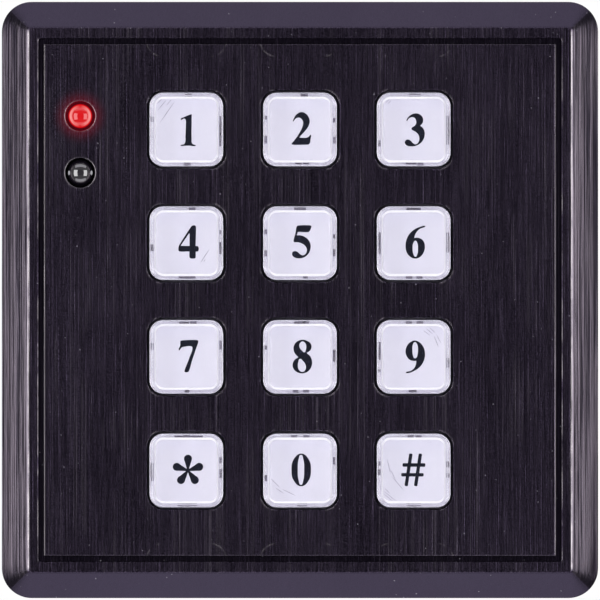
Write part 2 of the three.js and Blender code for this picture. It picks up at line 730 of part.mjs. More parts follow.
/** A screw whose head starts at z = 0 and whose shank points up, with a hexagonal socket in the head. */
function screw({ shank, head, headHeight, length }) {
  const edge = headHeight / 4;
  const socket = { radius: head * 0.45, depth: headHeight * 0.6 };
  const profile = [
    [head - edge, 0],
    [head, edge],
    [head, headHeight],
    [shank, headHeight],
    [shank, headHeight + length - shank / 2],
    [shank / 2, headHeight + length],
  ];
  return turned(profile, SCREW_SIDES).subtract(cylinder(socket.radius, -OVERCUT, socket.depth, 6));
}

boardScrewPlaces.forEach(({ x, y }, i) => {
  const mesh = piece(`board_screw_${i + 1}`, screw(boardScrew), materials.screwSteel);
  mesh.position.set(x, y, depth.boardBack - SEAT - boardScrew.headHeight);
});

postPlaces.forEach(({ x, y }, i) => {
  const mesh = piece(`housing_screw_${i + 1}`, screw(housingScrew), materials.screwSteel);
  mesh.position.set(x, y, depth.screwSeat - SEAT - housingScrew.headHeight);
});

const lockScrew = piece("security_screw", screw(securityScrew), materials.blackScrew);
lockScrew.rotation.x = -Math.PI / 2;
lockScrew.position.set(0, shellBottom + screwHole.sink - SEAT, tongue.screwDepth);

// ---------------------------------------------------------------- the panel stands up, facing -Y

reader.rotation.x = Math.PI / 2;

export default reader;
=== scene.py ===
# %% [markdown]
# # A keypad access reader
# The CAD model holds every size and every joint. This lesson gives it its looks: the load call brings the
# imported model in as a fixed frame, and each piece modelled here takes its place from that frame.

# %% Load the frame
import math
from contextlib import contextmanager

import bmesh
import bpy
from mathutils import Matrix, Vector


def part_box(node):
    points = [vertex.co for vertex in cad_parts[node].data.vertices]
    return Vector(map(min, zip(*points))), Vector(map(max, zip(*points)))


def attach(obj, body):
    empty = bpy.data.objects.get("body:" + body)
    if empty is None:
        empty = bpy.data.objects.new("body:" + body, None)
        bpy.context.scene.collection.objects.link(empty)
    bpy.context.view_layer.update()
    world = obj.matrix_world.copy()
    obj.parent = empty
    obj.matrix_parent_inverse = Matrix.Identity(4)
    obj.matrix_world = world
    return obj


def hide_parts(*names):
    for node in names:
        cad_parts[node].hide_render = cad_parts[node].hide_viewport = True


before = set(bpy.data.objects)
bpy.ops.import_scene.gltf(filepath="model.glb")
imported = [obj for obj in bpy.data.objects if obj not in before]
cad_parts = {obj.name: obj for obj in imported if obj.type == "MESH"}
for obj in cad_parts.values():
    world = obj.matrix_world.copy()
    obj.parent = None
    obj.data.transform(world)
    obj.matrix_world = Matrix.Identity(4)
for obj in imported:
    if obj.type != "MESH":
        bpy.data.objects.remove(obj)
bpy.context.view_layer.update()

# %% [markdown]
# ## Where things are
# The reader faces -Y, so a piece's depth is how far it stands out along -Y. The wall is at y = 0. Every
# place below is read from the frame, so a change in the CAD model moves the pieces made here as well.

# %% Measures from the frame
MM = 0.001
KEY_NAMES = ["1", "2", "3", "4", "5", "6", "7", "8", "9", "star", "0", "hash"]


def middle(node):
    """The centre of a CAD piece."""
    lo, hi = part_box(node)
    return (lo + hi) / 2


def front(node):
    """The y of a CAD piece's front."""
    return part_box(node)[0].y


def back(node):
    """The y of a CAD piece's back."""
    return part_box(node)[1].y


plate_lo, plate_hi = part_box("face_plate")
key_centres = {name: middle(f"key_cover_{name}") for name in KEY_NAMES}
key_pitch = key_centres["2"].x - key_centres["1"].x
cover_lo, cover_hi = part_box("key_cover_5")
cover_size = cover_hi.x - cover_lo.x
plate_width = plate_hi.x - plate_lo.x
plate_height = plate_hi.z - plate_lo.z

SLOPE_WIDTH = 4.45 * MM
GROOVE_INSET = 6.2 * MM
GROOVE_WIDTH = 0.9 * MM
KEY_RADIUS = 2.25 * MM
CAP_WALL = 0.65 * MM
crease = plate_width / 2 - SLOPE_WIDTH  # from the middle to where the slope starts
outer_lip = plate_width / 2 - GROOVE_INSET  # and to the groove's outer and inner edges
inner_lip = outer_lip - GROOVE_WIDTH
cap_inside = cover_size / 2 - CAP_WALL
print(f"plate {plate_width / MM:.2f} mm wide, keys {key_pitch / MM:.1f} mm apart")

# %% [markdown]
# ## The camera, the light and the floor
# The reader is seen straight on, from far enough away that its sides don't show. Two tall softboxes stand
# to its left and right, and two dimmer ones above and below give the sloping edges their even tone.

# %% Camera
VIEW_WIDTH = 100.42 * MM
VIEW_DISTANCE = 1.0
SENSOR = 36.0

bpy.ops.object.camera_add(location=(0, plate_lo.y - VIEW_DISTANCE, 0), rotation=(math.radians(90), 0, 0))
camera = bpy.context.active_object
camera.name = "camera"
camera.data.sensor_width = SENSOR
camera.data.lens = SENSOR * VIEW_DISTANCE / VIEW_WIDTH
camera.data.clip_start = 0.05
bpy.context.scene.camera = camera
print(f"lens {camera.data.lens:.1f} mm")

# %% [markdown]
# The lamps and the caps mirror the softboxes, so each one has the size and the angle that puts its
# highlight where it belongs, and only then the power that gives the slopes their tone.

# %% Softboxes
def softbox(name, azimuth, elevation, distance, width, height, power, colour=(1, 1, 1)):
    """A soft light that looks at the reader from an angle right of and above straight on."""
    turn, tilt = math.radians(azimuth), math.radians(elevation)
    away = Vector((math.sin(turn) * math.cos(tilt), -math.cos(turn) * math.cos(tilt), math.sin(tilt)))
    bpy.ops.object.light_add(type="AREA", location=away * distance)
    light = bpy.context.active_object
    light.name = name
    light.data.shape = "RECTANGLE"
    light.data.size = width
    light.data.size_y = height
    light.data.energy = power
    light.data.color = colour
    light.rotation_euler = away.to_track_quat("Z", "Y").to_euler()
    return light


softbox("left_softbox", -37, 0, 0.8, 0.42, 0.62, 2.7)
softbox("right_softbox", 37, 0, 0.8, 0.42, 0.62, 2.5)
softbox("top_softbox", 0, 58, 0.8, 1.2, 0.34, 1.35, (0.95, 0.92, 1))
softbox("bottom_softbox", 0, -58, 0.8, 1.2, 0.34, 1.35, (0.95, 0.92, 1))

# %% [markdown]
# Glossy pieces also mirror the room. It is an even grey, but dimmer straight in front of the reader, as a
# studio is behind its camera: otherwise the printed characters would look grey through their caps. The
# floor is a pale sheet far below.

# %% Room and floor
DIM_CORE, DIM_EDGE = 15, 30  # degrees off straight on within which the room is dim, and where that ends


def room_light(grey, in_front):
    """A grey light from everywhere but straight in front, seen as white behind the reader."""
    world = bpy.data.worlds.new("studio")
    world.use_nodes = True
    tree = world.node_tree
    place = tree.nodes.new("ShaderNodeTexCoord")
    forward = tree.nodes.new("ShaderNodeVectorMath")
    forward.operation = "DOT_PRODUCT"
    forward.inputs[1].default_value = (0, -1, 0)
    fade = tree.nodes.new("ShaderNodeMapRange")
    fade.inputs["From Min"].default_value = math.cos(math.radians(DIM_EDGE))
    fade.inputs["From Max"].default_value = math.cos(math.radians(DIM_CORE))
    fade.inputs["To Min"].default_value = grey
    fade.inputs["To Max"].default_value = in_front
    tree.links.new(place.outputs["Generated"], forward.inputs[0])
    tree.links.new(forward.outputs["Value"], fade.inputs["Value"])
    tree.nodes["Background"].inputs["Color"].default_value = (1, 1, 1, 1)
    tree.links.new(fade.outputs["Result"], tree.nodes["Background"].inputs["Strength"])
    white = tree.nodes.new("ShaderNodeBackground")
    white.inputs["Color"].default_value = (1, 1, 1, 1)
    rays = tree.nodes.new("ShaderNodeLightPath")
    mix = tree.nodes.new("ShaderNodeMixShader")
    tree.links.new(rays.outputs["Is Camera Ray"], mix.inputs[0])
    tree.links.new(tree.nodes["Background"].outputs[0], mix.inputs[1])
    tree.links.new(white.outputs[0], mix.inputs[2])
    tree.links.new(mix.outputs[0], tree.nodes["World Output"].inputs["Surface"])
    bpy.context.scene.world = world


room_light(0.24, 0.13)
bpy.context.scene.view_settings.view_transform = "Standard"

bpy.ops.mesh.primitive_circle_add(vertices=96, radius=4, fill_type="NGON", location=(0, 0, -1))
floor = bpy.context.active_object
floor.name = "floor"
print("floor", [round(side, 1) for side in floor.dimensions], "m")

# %% [markdown]
# ## Hands for modelling
# A piece starts as a primitive that is added at its size and place. These short helpers deselect
# everything, pick faces or edges by where they are, and put a finished piece's place into its mesh.

# %% Selecting and starting a piece
def deselect_all():
    """Nothing stays selected, so that the next operator acts only on what is picked."""
    for obj in list(bpy.context.selected_objects):
        obj.select_set(False)


def choose(*objs):
    """Selects these objects only. The first one is the active one."""
    deselect_all()
    for obj in objs:
        obj.select_set(True)
    bpy.context.view_layer.objects.active = objs[0]


def started(name):
    """Names the primitive that was just added, and puts its place and size into its mesh."""
    obj = bpy.context.active_object
    obj.name = name
    obj.data.name = name
    choose(obj)
    bpy.ops.object.transform_apply(location=True, rotation=True, scale=True)
    return obj


def block(name, lo, hi):
    """A block between two corners."""
    deselect_all()
    lo, hi = Vector(lo), Vector(hi)
    bpy.ops.mesh.primitive_cube_add(size=1, location=(lo + hi) / 2, scale=hi - lo)
    return started(name)


def rod(name, centre, radius, y_front, y_back, sides=48):
    """A round rod that points along Y."""
    deselect_all()
    place = (centre.x, (y_front + y_back) / 2, centre.z)
    turn = (math.radians(90), 0, 0)
    bpy.ops.mesh.primitive_cylinder_add(
        vertices=sides, radius=radius, depth=y_back - y_front, location=place, rotation=turn
    )
    return started(name)


@contextmanager
def editing(obj, kind="FACE"):
    """Edit mode on one object, with nothing selected at the start."""
    choose(obj)
    bpy.ops.object.mode_set(mode="EDIT")
    bpy.ops.mesh.select_mode(type=kind)
    bpy.ops.mesh.select_all(action="DESELECT")
    yield
    bpy.ops.object.mode_set(mode="OBJECT")


def pick_faces(test):
    """Selects the faces whose middle and normal pass the test, and no others."""
    bpy.ops.mesh.select_all(action="DESELECT")
    data = bpy.context.edit_object.data
    mesh = bmesh.from_edit_mesh(data)
    for face in mesh.faces:
        if test(face.calc_center_median(), face.normal):
            face.select_set(True)
    bmesh.update_edit_mesh(data)


def pick_edges(test, sharper_than=-1.0):
    """Selects the edges whose two ends pass the test and whose faces meet at more than an angle."""
    bpy.ops.mesh.select_all(action="DESELECT")
    data = bpy.context.edit_object.data
    mesh = bmesh.from_edit_mesh(data)
    for edge in mesh.edges:
        if test(edge.verts[0].co, edge.verts[1].co) and edge.calc_face_angle(0) > sharper_than:
            edge.select_set(True)
    bmesh.update_edit_mesh(data)


def near(a, b, reach=1e-6):
    """Whether two lengths are the same, within a micron."""
    return abs(a - b) < reach


print("ready: block, rod, editing, pick_faces, pick_edges")

# %% [markdown]
# The next hands change a piece: they extrude and round it, cut or join it with others through the Boolean
# modifier, copy it, and at the end give it its finish and its place on a body. Cutters are taken one by
# one, because cutters that touch each other can confuse the exact solver when they are joined first.

# %% Shaping, cutting and copying
def push(depth):
    """Extrudes the picked faces along Y: towards the viewer when depth is above zero."""
    bpy.ops.mesh.extrude_region_move(TRANSFORM_OT_translate={"value": (0, -depth, 0)})


def rounded_block(name, centre, width, height, radius, y_front, y_back, steps=8):
    """A block whose four edges along Y are rounded, which most pieces of the reader start from."""
    half = Vector((width / 2, 0, height / 2))
    lo = Vector((centre.x, y_front, centre.z)) - half
    hi = Vector((centre.x, y_back, centre.z)) + half
    obj = block(name, lo, hi)
    with editing(obj, "EDGE"):
        pick_edges(lambda a, b: abs(a.y - b.y) > 1e-6)
        bpy.ops.mesh.bevel(offset=radius, segments=steps, affect="EDGES")
    return obj


def modify(obj, kind, **settings):
    """Adds a modifier, sets it and applies it."""
    modifier = obj.modifiers.new(kind.lower(), kind)
    for key, value in settings.items():
        setattr(modifier, key, value)
    choose(obj)
    bpy.ops.object.modifier_apply(modifier=modifier.name)


def combine(obj, others, operation):
    """Cuts the others away from obj, or joins them to it, as solids."""
    for other in others:
        modify(obj, "BOOLEAN", object=other, operation=operation, solver="EXACT")
        bpy.data.objects.remove(other)


def cut(obj, *cutters):
    combine(obj, cutters, "DIFFERENCE")


def weld_on(obj, *others):
    combine(obj, others, "UNION")


def copied(obj, name, shift=(0, 0, 0)):
    """A copy with a mesh of its own, moved by shift."""
    choose(obj)
    bpy.ops.object.duplicate()
    twin = bpy.context.active_object
    twin.location = shift
    bpy.ops.object.transform_apply(location=True, rotation=False, scale=False)
    twin.name = name
    twin.data.name = name
    return twin


def joined(name, *objs):
    """Several objects as one."""
    choose(*objs)
    bpy.ops.object.join()
    obj = bpy.context.active_object
    obj.name = name
    obj.data.name = name
    return obj


def soften(obj, width, segments=2, angle=20):
    """Breaks each sharp edge with a small round."""
    limit = math.radians(angle)
    modify(obj, "BEVEL", width=width, segments=segments, limit_method="ANGLE", angle_limit=limit)
    shade(obj)


def shade(obj):
    """Shades the rounds smooth and keeps the flat faces flat."""
    choose(obj)
    bpy.ops.object.shade_smooth_by_angle(angle=math.radians(50))
    modify(obj, "WEIGHTED_NORMAL", mode="FACE_AREA", weight=100, keep_sharp=True)


def finer_copy(node, name, edge):
    """A copy of a CAD piece with its flat faces whole again and its sharp edges broken."""
    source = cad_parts[node]
    twin = bpy.data.objects.new(name, source.data.copy())
    bpy.context.scene.collection.objects.link(twin)
    with editing(twin, "VERT"):
        bpy.ops.mesh.select_all(action="SELECT")
        bpy.ops.mesh.remove_doubles(threshold=1e-6)
        bpy.ops.mesh.dissolve_limited(angle_limit=math.radians(1))
    twin.data.materials.clear()
    soften(twin, edge)
    return twin


def finished(obj, finish, body, *nodes):
    """Gives a piece its finish and its body, and hides the CAD pieces that it stands for."""
    obj.data.materials.clear()
    obj.data.materials.append(finish.material)
    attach(obj, body)
    if nodes:
        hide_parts(*nodes)
    return obj


print("ready: push, rounded_block, cut, weld_on, copied, joined, soften, finished")


# %% [markdown]
# ## Shader maths
# A finish is easier to read as a sum than as a web of nodes. `Wire` wraps a node's output so that `1 -
# mask` adds a Math node, and `Finish.node` makes every other node.

# %% Wire and Finish
class Wire:
    """A node's output, which numbers and other outputs can be added to, multiplied by and so on."""

    def __init__(self, finish, socket):
        self.finish = finish
        self.socket = socket

    def maths(self, operation, *values):
        inputs = dict(enumerate(values))
        return self.finish.node("ShaderNodeMath", {"operation": operation}, inputs)

    def __add__(self, other):
        return self.maths("ADD", self, other)

    def __sub__(self, other):
        return self.maths("SUBTRACT", self, other)

    def __rsub__(self, other):
        return self.maths("SUBTRACT", other, self)

    def __mul__(self, other):
        return self.maths("MULTIPLY", self, other)

    def __truediv__(self, other):
        return self.maths("DIVIDE", self, other)

    def __pow__(self, other):
        return self.maths("POWER", self, other)

    def __abs__(self):
        return self.maths("ABSOLUTE", self)

    __radd__ = __add__
    __rmul__ = __mul__

    def larger(self, other):
        return self.maths("MAXIMUM", self, other)

    def fraction(self):
        """What is left after the whole number below is taken away."""
        return self.maths("FRACT", self)

    def ramp(self, low, high):
        """0 below low and 1 above high, smooth between them. Falls instead where low is above high."""
        inputs = {"Value": self, "From Min": low, "From Max": high}
        return self.finish.node("ShaderNodeMapRange", {"interpolation_type": "SMOOTHSTEP"}, inputs)


class Finish:
    """A material with one Principled surface."""

    def __init__(self, name, slot=None, **constants):
        self.slot = slot or name
        self.material = bpy.data.materials.new(name)
        self.material.use_nodes = True
        self.tree = self.material.node_tree
        self.surface = self.tree.nodes["Principled BSDF"]
        self.set({key.replace("_", " "): value for key, value in constants.items()})
        self.place = self.node("ShaderNodeTexCoord", out="Object")

    def node(self, kind, settings=None, inputs=None, out=0):
        """Adds a node: its settings first, then the values or links of its sockets."""
        node = self.tree.nodes.new(kind)
        for key, value in (settings or {}).items():
            setattr(node, key, value)
        for key, value in (inputs or {}).items():
            self.feed(node.inputs[key], value)
        return Wire(self, node.outputs[out])

    def feed(self, socket, value):
        if isinstance(value, Wire):
            self.tree.links.new(value.socket, socket)
        else:
            socket.default_value = value

    def set(self, values):
        """Sets or links sockets of the surface, by their names."""
        for key, value in values.items():
            self.feed(self.surface.inputs[key], value)

    def centred(self, centre):
        """The place on the piece, measured from centre."""
        inputs = {"Vector": self.place, "Location": [-value for value in centre]}
        return self.node("ShaderNodeMapping", {}, inputs)

    def axes(self, vector):
        """The x, y and z of a vector."""
        split = self.node("ShaderNodeSeparateXYZ", {}, {"Vector": vector}).socket.node
        return [Wire(self, output) for output in split.outputs]

    def noise(self, grain, detail=2.0, stretch=(1, 1, 1), seed=0.0, rough=0.5):
        """Noise whose grains are about grain across, and longer by stretch on each axis."""
        scale = [1 / (grain * value) for value in stretch]
        inputs = {"Vector": self.place, "Scale": scale, "Location": (seed,) * 3}
        place = self.node("ShaderNodeMapping", {}, inputs)
        inputs = {"Vector": place, "Scale": 1.0, "Detail": detail, "Roughness": rough}
        return self.node("ShaderNodeTexNoise", {}, inputs)

    def cells(self, size, seed=0.0):
        """The distance to the nearest of many scattered points, in sizes of a cell."""
        inputs = {"Vector": self.place, "Scale": [1 / size] * 3, "Location": (seed,) * 3}
        place = self.node("ShaderNodeMapping", {}, inputs)
        return self.node("ShaderNodeTexVoronoi", {}, {"Vector": place, "Scale": 1.0}, "Distance")

    def spot(self, x, z, half_width, half_height, turn=0.0, soft=0.4):
        """1 inside an oval on the front, and 0 outside it. A turned thin oval is a scratch."""
        settings = {"vector_type": "TEXTURE"}
        inputs = {"Vector": self.place, "Location": (x, 0, z), "Rotation": (0, -turn, 0)}
        inputs["Scale"] = (half_width, 1e6, half_height)
        place = self.node("ShaderNodeMapping", settings, inputs)
        reach = self.node("ShaderNodeVectorMath", {"operation": "LENGTH"}, {0: place}, "Value")
        return reach.ramp(1, 1 - soft)

    def mix(self, factor, a, b):
        """Colour a where factor is 0, and b where it is 1."""
        inputs = {0: factor, 6: a, 7: b}
        return self.node("ShaderNodeMix", {"data_type": "RGBA"}, inputs, 2)

    def bump(self, height, distance, strength=1.0):
        """Links a relief of this real height to the surface's normal."""
        inputs = {"Height": height, "Distance": distance, "Strength": strength}
        self.set({"Normal": self.node("ShaderNodeBump", {}, inputs)})


print("ready: Wire, Finish")

# %% [markdown]
# ## Finishes
# Each finish is mostly made of what the real surface is: a base colour that varies a little, its gloss, and
# the relief that its maker left on it. Some also carry painted light and shade, which is named where it
# stands. Patterns read Object coordinates, which are metres on the reader.

# %% Floor paper
paper = Finish("floor_paper", Roughness=0.9)
paper.set({"Base Color": paper.mix(paper.noise(0.05), (0.82, 0.82, 0.83, 1), (0.86, 0.86, 0.87, 1))})
floor.data.materials.append(paper.material)
print(paper.material.name)

# %% [markdown]
# The face is aluminium, brushed in upright strokes and then anodised nearly black with a violet cast.
# Three sizes of stretched noise make the strokes, because real brushing leaves some scratches deeper than
# others, and a fourth, masked by a patch, makes the groups of deeper ones. A mask in x and z tells the
# slopes from the face. The slopes' tones are painted reflections of the softboxes, streaky at the sides and
# plain above and below. Thin bright lines along the upright edges, at the windows' corners and round the
# lamp holes are painted highlights, the walls of the groove and the windows carry painted shade, and a
# painted red glow lies round the lit lamp. Colour reads better than bump here: the strokes are finer than a
# bump can show from a metre away.

# %% Brushed anodised aluminium
def strokes(look, width, length, seed):
    """Noise in upright strokes."""
    scale = (1 / width, 1 / width, 1 / length)
    place = look.node("ShaderNodeMapping", {}, {"Vector": look.place, "Scale": scale})
    inputs = {"Vector": place, "W": seed, "Scale": 1.0, "Detail": 2.0, "Roughness": 0.6}
    return look.node("ShaderNodeTexNoise", {"noise_dimensions": "4D"}, inputs)


def from_middle(look, centre):
    """How far a place on the front is from centre."""
    x, _, z = look.axes(look.centred(centre))
    return (x * x + z * z) ** 0.5


def line(value, at, half_width):
    """1 where value is at, and 0 half_width away from it."""
    return abs(value - at).ramp(half_width, half_width * 0.4)


LAMPS = ("status_led_upper", "status_led_lower")
LED_HOLE_RADIUS = 2.5 * MM


def anodised():
    look = Finish("anodised_aluminium", Emission_Strength=1.0)
    hair = strokes(look, 0.17 * MM, 7 * MM, 1.0)
    stroke = strokes(look, 0.3 * MM, 34 * MM, 3.1)
    band = strokes(look, 2.4 * MM, 90 * MM, 7.7)
    cloud = look.noise(14 * MM, 2, (1, 1, 2), 1.3)
    grain = look.noise(0.22 * MM, 1, seed=9.0)
    patchy = look.noise(1.1 * MM, 3, (1, 1, 3), 4.4)

    # the broad faces
    shade = hair * 0.7 + stroke * 0.25 + band * 0.1 + cloud * 0.25 + grain * 0.9
    colour = look.mix(shade.ramp(0.85, 1.35), (0.018, 0.0135, 0.026, 1), (0.088, 0.069, 0.112, 1))
    patch = look.noise(6 * MM, 1, (1, 1, 3), 15.0).ramp(0.45, 0.62)
    deeper = strokes(look, 0.22 * MM, 60 * MM, 12.0).ramp(0.52, 0.68) * patch
    colour = look.mix(deeper * (0.35 + grain * 0.7), colour, (0.175, 0.15, 0.195, 1))

    # the slopes: painted reflections of the softboxes, streaky at the sides, plain above and below
    x, y, z = look.axes(look.place)
    x, z = abs(x), abs(z)
    slope_start = (crease - 0.05 * MM, crease + 0.15 * MM)
    sides = (x - z).ramp(-0.1 * MM, 0.1 * MM) * x.ramp(*slope_start)
    ends = (z - x).ramp(-0.1 * MM, 0.1 * MM) * z.ramp(*slope_start)
    streaks = (stroke * 0.55 + hair * 0.25 + band * 0.2).ramp(0.4, 0.61)
    slope = look.mix(streaks, (0.024, 0.02, 0.03, 1), (0.145, 0.123, 0.152, 1))
    # painted highlight brighter towards the crease, and painted shade darker towards the corners
    near_crease = x.ramp(crease + 3.05 * MM, crease + 0.35 * MM)
    slope = look.mix(near_crease * streaks * 0.4, slope, (0.25, 0.215, 0.26, 1))
    near_corner = z.ramp(crease - 2.05 * MM, crease + 1.95 * MM)
    slope = look.mix(near_corner, slope, (0.03, 0.025, 0.037, 1))
    plain = look.mix(cloud, (0.048, 0.04, 0.063, 1), (0.058, 0.049, 0.075, 1))
    colour = look.mix(ends, look.mix(sides, colour, slope), plain)

    # painted highlights on the edges' rounds, strongest on the upright edges that face the side softboxes,
    # broken up in patches
    crease_breakup = 0.5 + patchy.ramp(0.35, 0.6) * 0.5
    crease_highlight = line(x, crease - 0.1 * MM, 0.21 * MM) * z.ramp(crease - 0.05 * MM, crease - 1.05 * MM)
    crease_highlight = crease_highlight * crease_breakup * 0.55
    lip_at = inner_lip - 0.1 * MM
    lip = line(x, lip_at, 0.18 * MM) * z.ramp(inner_lip, inner_lip - 0.3 * MM) * 0.75
    lip_ends = line(z, lip_at, 0.18 * MM) * x.ramp(inner_lip, inner_lip - 0.3 * MM) * 0.07
    outer = line(x, outer_lip + 0.08 * MM, 0.14 * MM) * z.ramp(outer_lip + 0.2 * MM, outer_lip - 0.2 * MM)
    outer = outer * patchy.ramp(0.4, 0.62) * 0.35
    column = abs((look.axes(look.place)[0] / key_pitch + 0.5).fraction() - 0.5) * key_pitch
    row = abs((z / key_pitch).fraction() - 0.5) * key_pitch
    corner = cover_size / 2 - KEY_RADIUS  # the middle of a window's round corner
    out_x, out_z = (column - corner).larger(0), (row - corner).larger(0)
    hole_edge = line((out_x * out_x + out_z * out_z) ** 0.5, KEY_RADIUS + 0.59 * MM, 0.16 * MM)
    among_keys = x.ramp(1.5 * key_pitch - 0.5 * MM, 1.5 * key_pitch - 1.5 * MM)
    hole_edge = hole_edge * among_keys * (out_x * out_z).ramp(0, 3e-6) * patchy.ramp(0.42, 0.6) * 0.3
    bright_edges = (crease_highlight + lip).larger(lip_ends + outer + hole_edge)
    # rings of painted highlight round the lamp holes, brightest to their left and right
    ring_at = LED_HOLE_RADIUS + 0.12 * MM
    hole_ring_highlights = [line(from_middle(look, middle(node)), ring_at, 0.17 * MM) for node in LAMPS]
    beside = abs(look.axes(look.place)[0] - middle(LAMPS[0]).x).ramp(0, 2.4 * MM)
    bright_edges = bright_edges.larger((hole_ring_highlights[0] + hole_ring_highlights[1]) * (0.08 + beside * 0.26))
    colour = look.mix(bright_edges, colour, (0.62, 0.57, 0.6, 1))

    # painted shade on the walls in the groove and the windows
    past_groove = (outer_lip + 0.7 * MM, outer_lip + 0.5 * MM)
    inside = x.ramp(*past_groove) * z.ramp(*past_groove)
    recess_shade = y.ramp(plate_lo.y + 0.3 * MM, plate_lo.y + 0.6 * MM) * inside
    colour = look.mix(recess_shade * 0.85, colour, (0.012, 0.009, 0.017, 1))

    # dust
    specks = look.cells(1.7 * MM, 2.0).ramp(0.075, 0.03) * look.noise(3 * MM, 1, seed=5.0).ramp(0.35, 0.6)
    specks = specks.larger(look.cells(3.3 * MM, 6.0).ramp(0.05, 0.02)) * (1 - sides * 0.6)
    look.set({"Base Color": look.mix(specks * 0.55, colour, (0.42, 0.4, 0.46, 1))})
    look.set({"Metallic": 1 - specks * 0.7, "Roughness": 0.22 + 0.1 * stroke})
    # a painted red glow from the lit lamp on the plate round it, given as emission
    lit = from_middle(look, middle(LAMPS[0])).ramp(5.6 * MM, 1.8 * MM) ** 2
    look.set({"Emission Color": look.mix(lit, (0, 0, 0, 1), (0.095, 0.0005, 0.004, 1))})
    look.bump((hair * 0.8 + stroke * 2.4 + band * 1.5) * (1 - ends), 0.02 * MM)
    return look


anodised_aluminium = anodised()
print(anodised_aluminium.material.name, len(anodised_aluminium.tree.nodes), "nodes")

# %% [markdown]
# The carriers are white plastic. The step that the cap stands on carries painted shade: it is a shade
# darker than the block in its middle, most of all above and below and in the seam round the block. The
# tones follow the depth y and the place within a key's square, which x and z give after whole pitches are
# taken away.

# %% White moulded plastic
def moulded_white():
    """White, with painted shade that makes the step carrying the cap darker than the block under the film.
    """
    look = Finish("white_abs", Roughness=0.4)
    tone = look.noise(3 * MM, 3)
    x, y, z = look.axes(look.place)
    across = abs((x / key_pitch + 0.5).fraction() - 0.5) * key_pitch
    up = abs((z / key_pitch).fraction() - 0.5) * key_pitch
    # painted shade: the step darker than the block, darker above and below, darkest in the seam
    step = look.mix(tone, (0.8, 0.785, 0.88, 1), (0.87, 0.85, 0.94, 1))
    step = look.mix((up - across).ramp(-0.3 * MM, 0.3 * MM) * 0.4, step, (0.56, 0.55, 0.67, 1))
    seam_shade = across.larger(up).ramp(cap_inside + 0.12 * MM, cap_inside + 0.03 * MM)
    step = look.mix(seam_shade * 0.2, step, (0.36, 0.33, 0.4, 1))
    block_front = front("key_base_5")
    block_top = y.ramp(block_front + 0.3 * MM, block_front + 0.05 * MM)
    look.set({"Base Color": look.mix(block_top, step, (0.93, 0.92, 0.96, 1))})
    return look


white_abs = moulded_white()
print(white_abs.material.name)

# %% [markdown]
# The caps are clear. Transmission bends the light as a real cap does, which is what draws the pale lines
# round each key, but it would also cast a black shadow on the film. So for shadow rays the surface is
# mixed with a plain transparent one. A few caps are scratched: each scratch is a long thin oval between
# two points.

# %% Clear polycarbonate
SCRATCHES = {  # each runs through these points, in millimetres from the middle of its key
    "1": [
        [(-4, 5.2), (-4.9, 4.2)], [(-3.2, 5.1), (-5, 2.9)], [(-1.7, 5), (-4.7, 0.7)],
        [(-2.4, 5.1), (-3.4, 3.9)],
    ],
    "3": [[(-4.8, 4.3), (-4, 5.1)], [(-4.4, 4.2), (-3.7, 4.9)]],
    "4": [[(4, -0.8), (2.2, -3.5)], [(3.2, -2.7), (2.9, -3.1)]],
    "9": [[(2, 4.8), (3.3, 3.7), (4.2, 1.5)], [(2.5, 5), (3.7, 3.9), (4.6, 2.2)], [(1.5, 4.5), (2.8, 3.5)]],
    "0": [[(-5, -1.2), (-3.2, -3), (-0.5, -4.3)], [(-4.2, -2.8), (-2.6, -3.9)]],
    "hash": [
        [(-4.5, 2.2), (-3.8, -0.8), (-1.5, -3.5)], [(-4, 0.4), (-2.9, -1.8)],
        [(-5.3, -3.2), (-2.8, -5.2)], [(-5.2, -3.7), (-3.4, -5.2)], [(-4.9, -2.9), (-3.9, -3.9)],
    ],
}


def scratch(look, centre, start, end):
    """A hair-thin mark between two points."""
    (x0, z0), (x1, z1) = start, end
    half_length = math.hypot(x1 - x0, z1 - z0) / 2 * MM
    x, z = centre.x + (x0 + x1) / 2 * MM, centre.z + (z0 + z1) / 2 * MM
    return look.spot(x, z, half_length, 0.07 * MM, math.atan2(z1 - z0, x1 - x0))


def clear_plastic():
    look = Finish("clear_polycarbonate", Transmission_Weight=1.0, IOR=1.42, Specular_IOR_Level=0.2)
    marks = None
    for name, paths in SCRATCHES.items():
        for path in paths:
            for start, end in zip(path, path[1:]):
                mark = scratch(look, key_centres[name], start, end)
                marks = marks.larger(mark) if marks else mark
    look.set({"Base Color": look.mix(marks, (0.99, 0.99, 1, 1), (0.62, 0.6, 0.66, 1))})
    look.set({"Roughness": 0.02 + 0.02 * look.noise(2 * MM, 3)})
    tree = look.tree
    rays = look.node("ShaderNodeLightPath", {}, {}, "Is Shadow Ray")
    through = look.node("ShaderNodeBsdfTransparent", {}, {"Color": (0.96, 0.96, 0.98, 1)})
    surface = Wire(look, look.surface.outputs[0])
    mix = look.node("ShaderNodeMixShader", {}, {0: rays, 1: surface, 2: through})
    tree.links.new(mix.socket, tree.nodes["Material Output"].inputs["Surface"])
    return look


clear_polycarbonate = clear_plastic()
print(sum(len(paths) for paths in SCRATCHES.values()), "scratches on", len(SCRATCHES), "caps")

# %% [markdown]
# Under each cap lies a pale film with a character printed on it in blue-black ink. Its colour is a little
# brighter to the right and darker and bluer near its top, and a lighter band along its middle is a painted
# reflection. The ink has small scuffs.

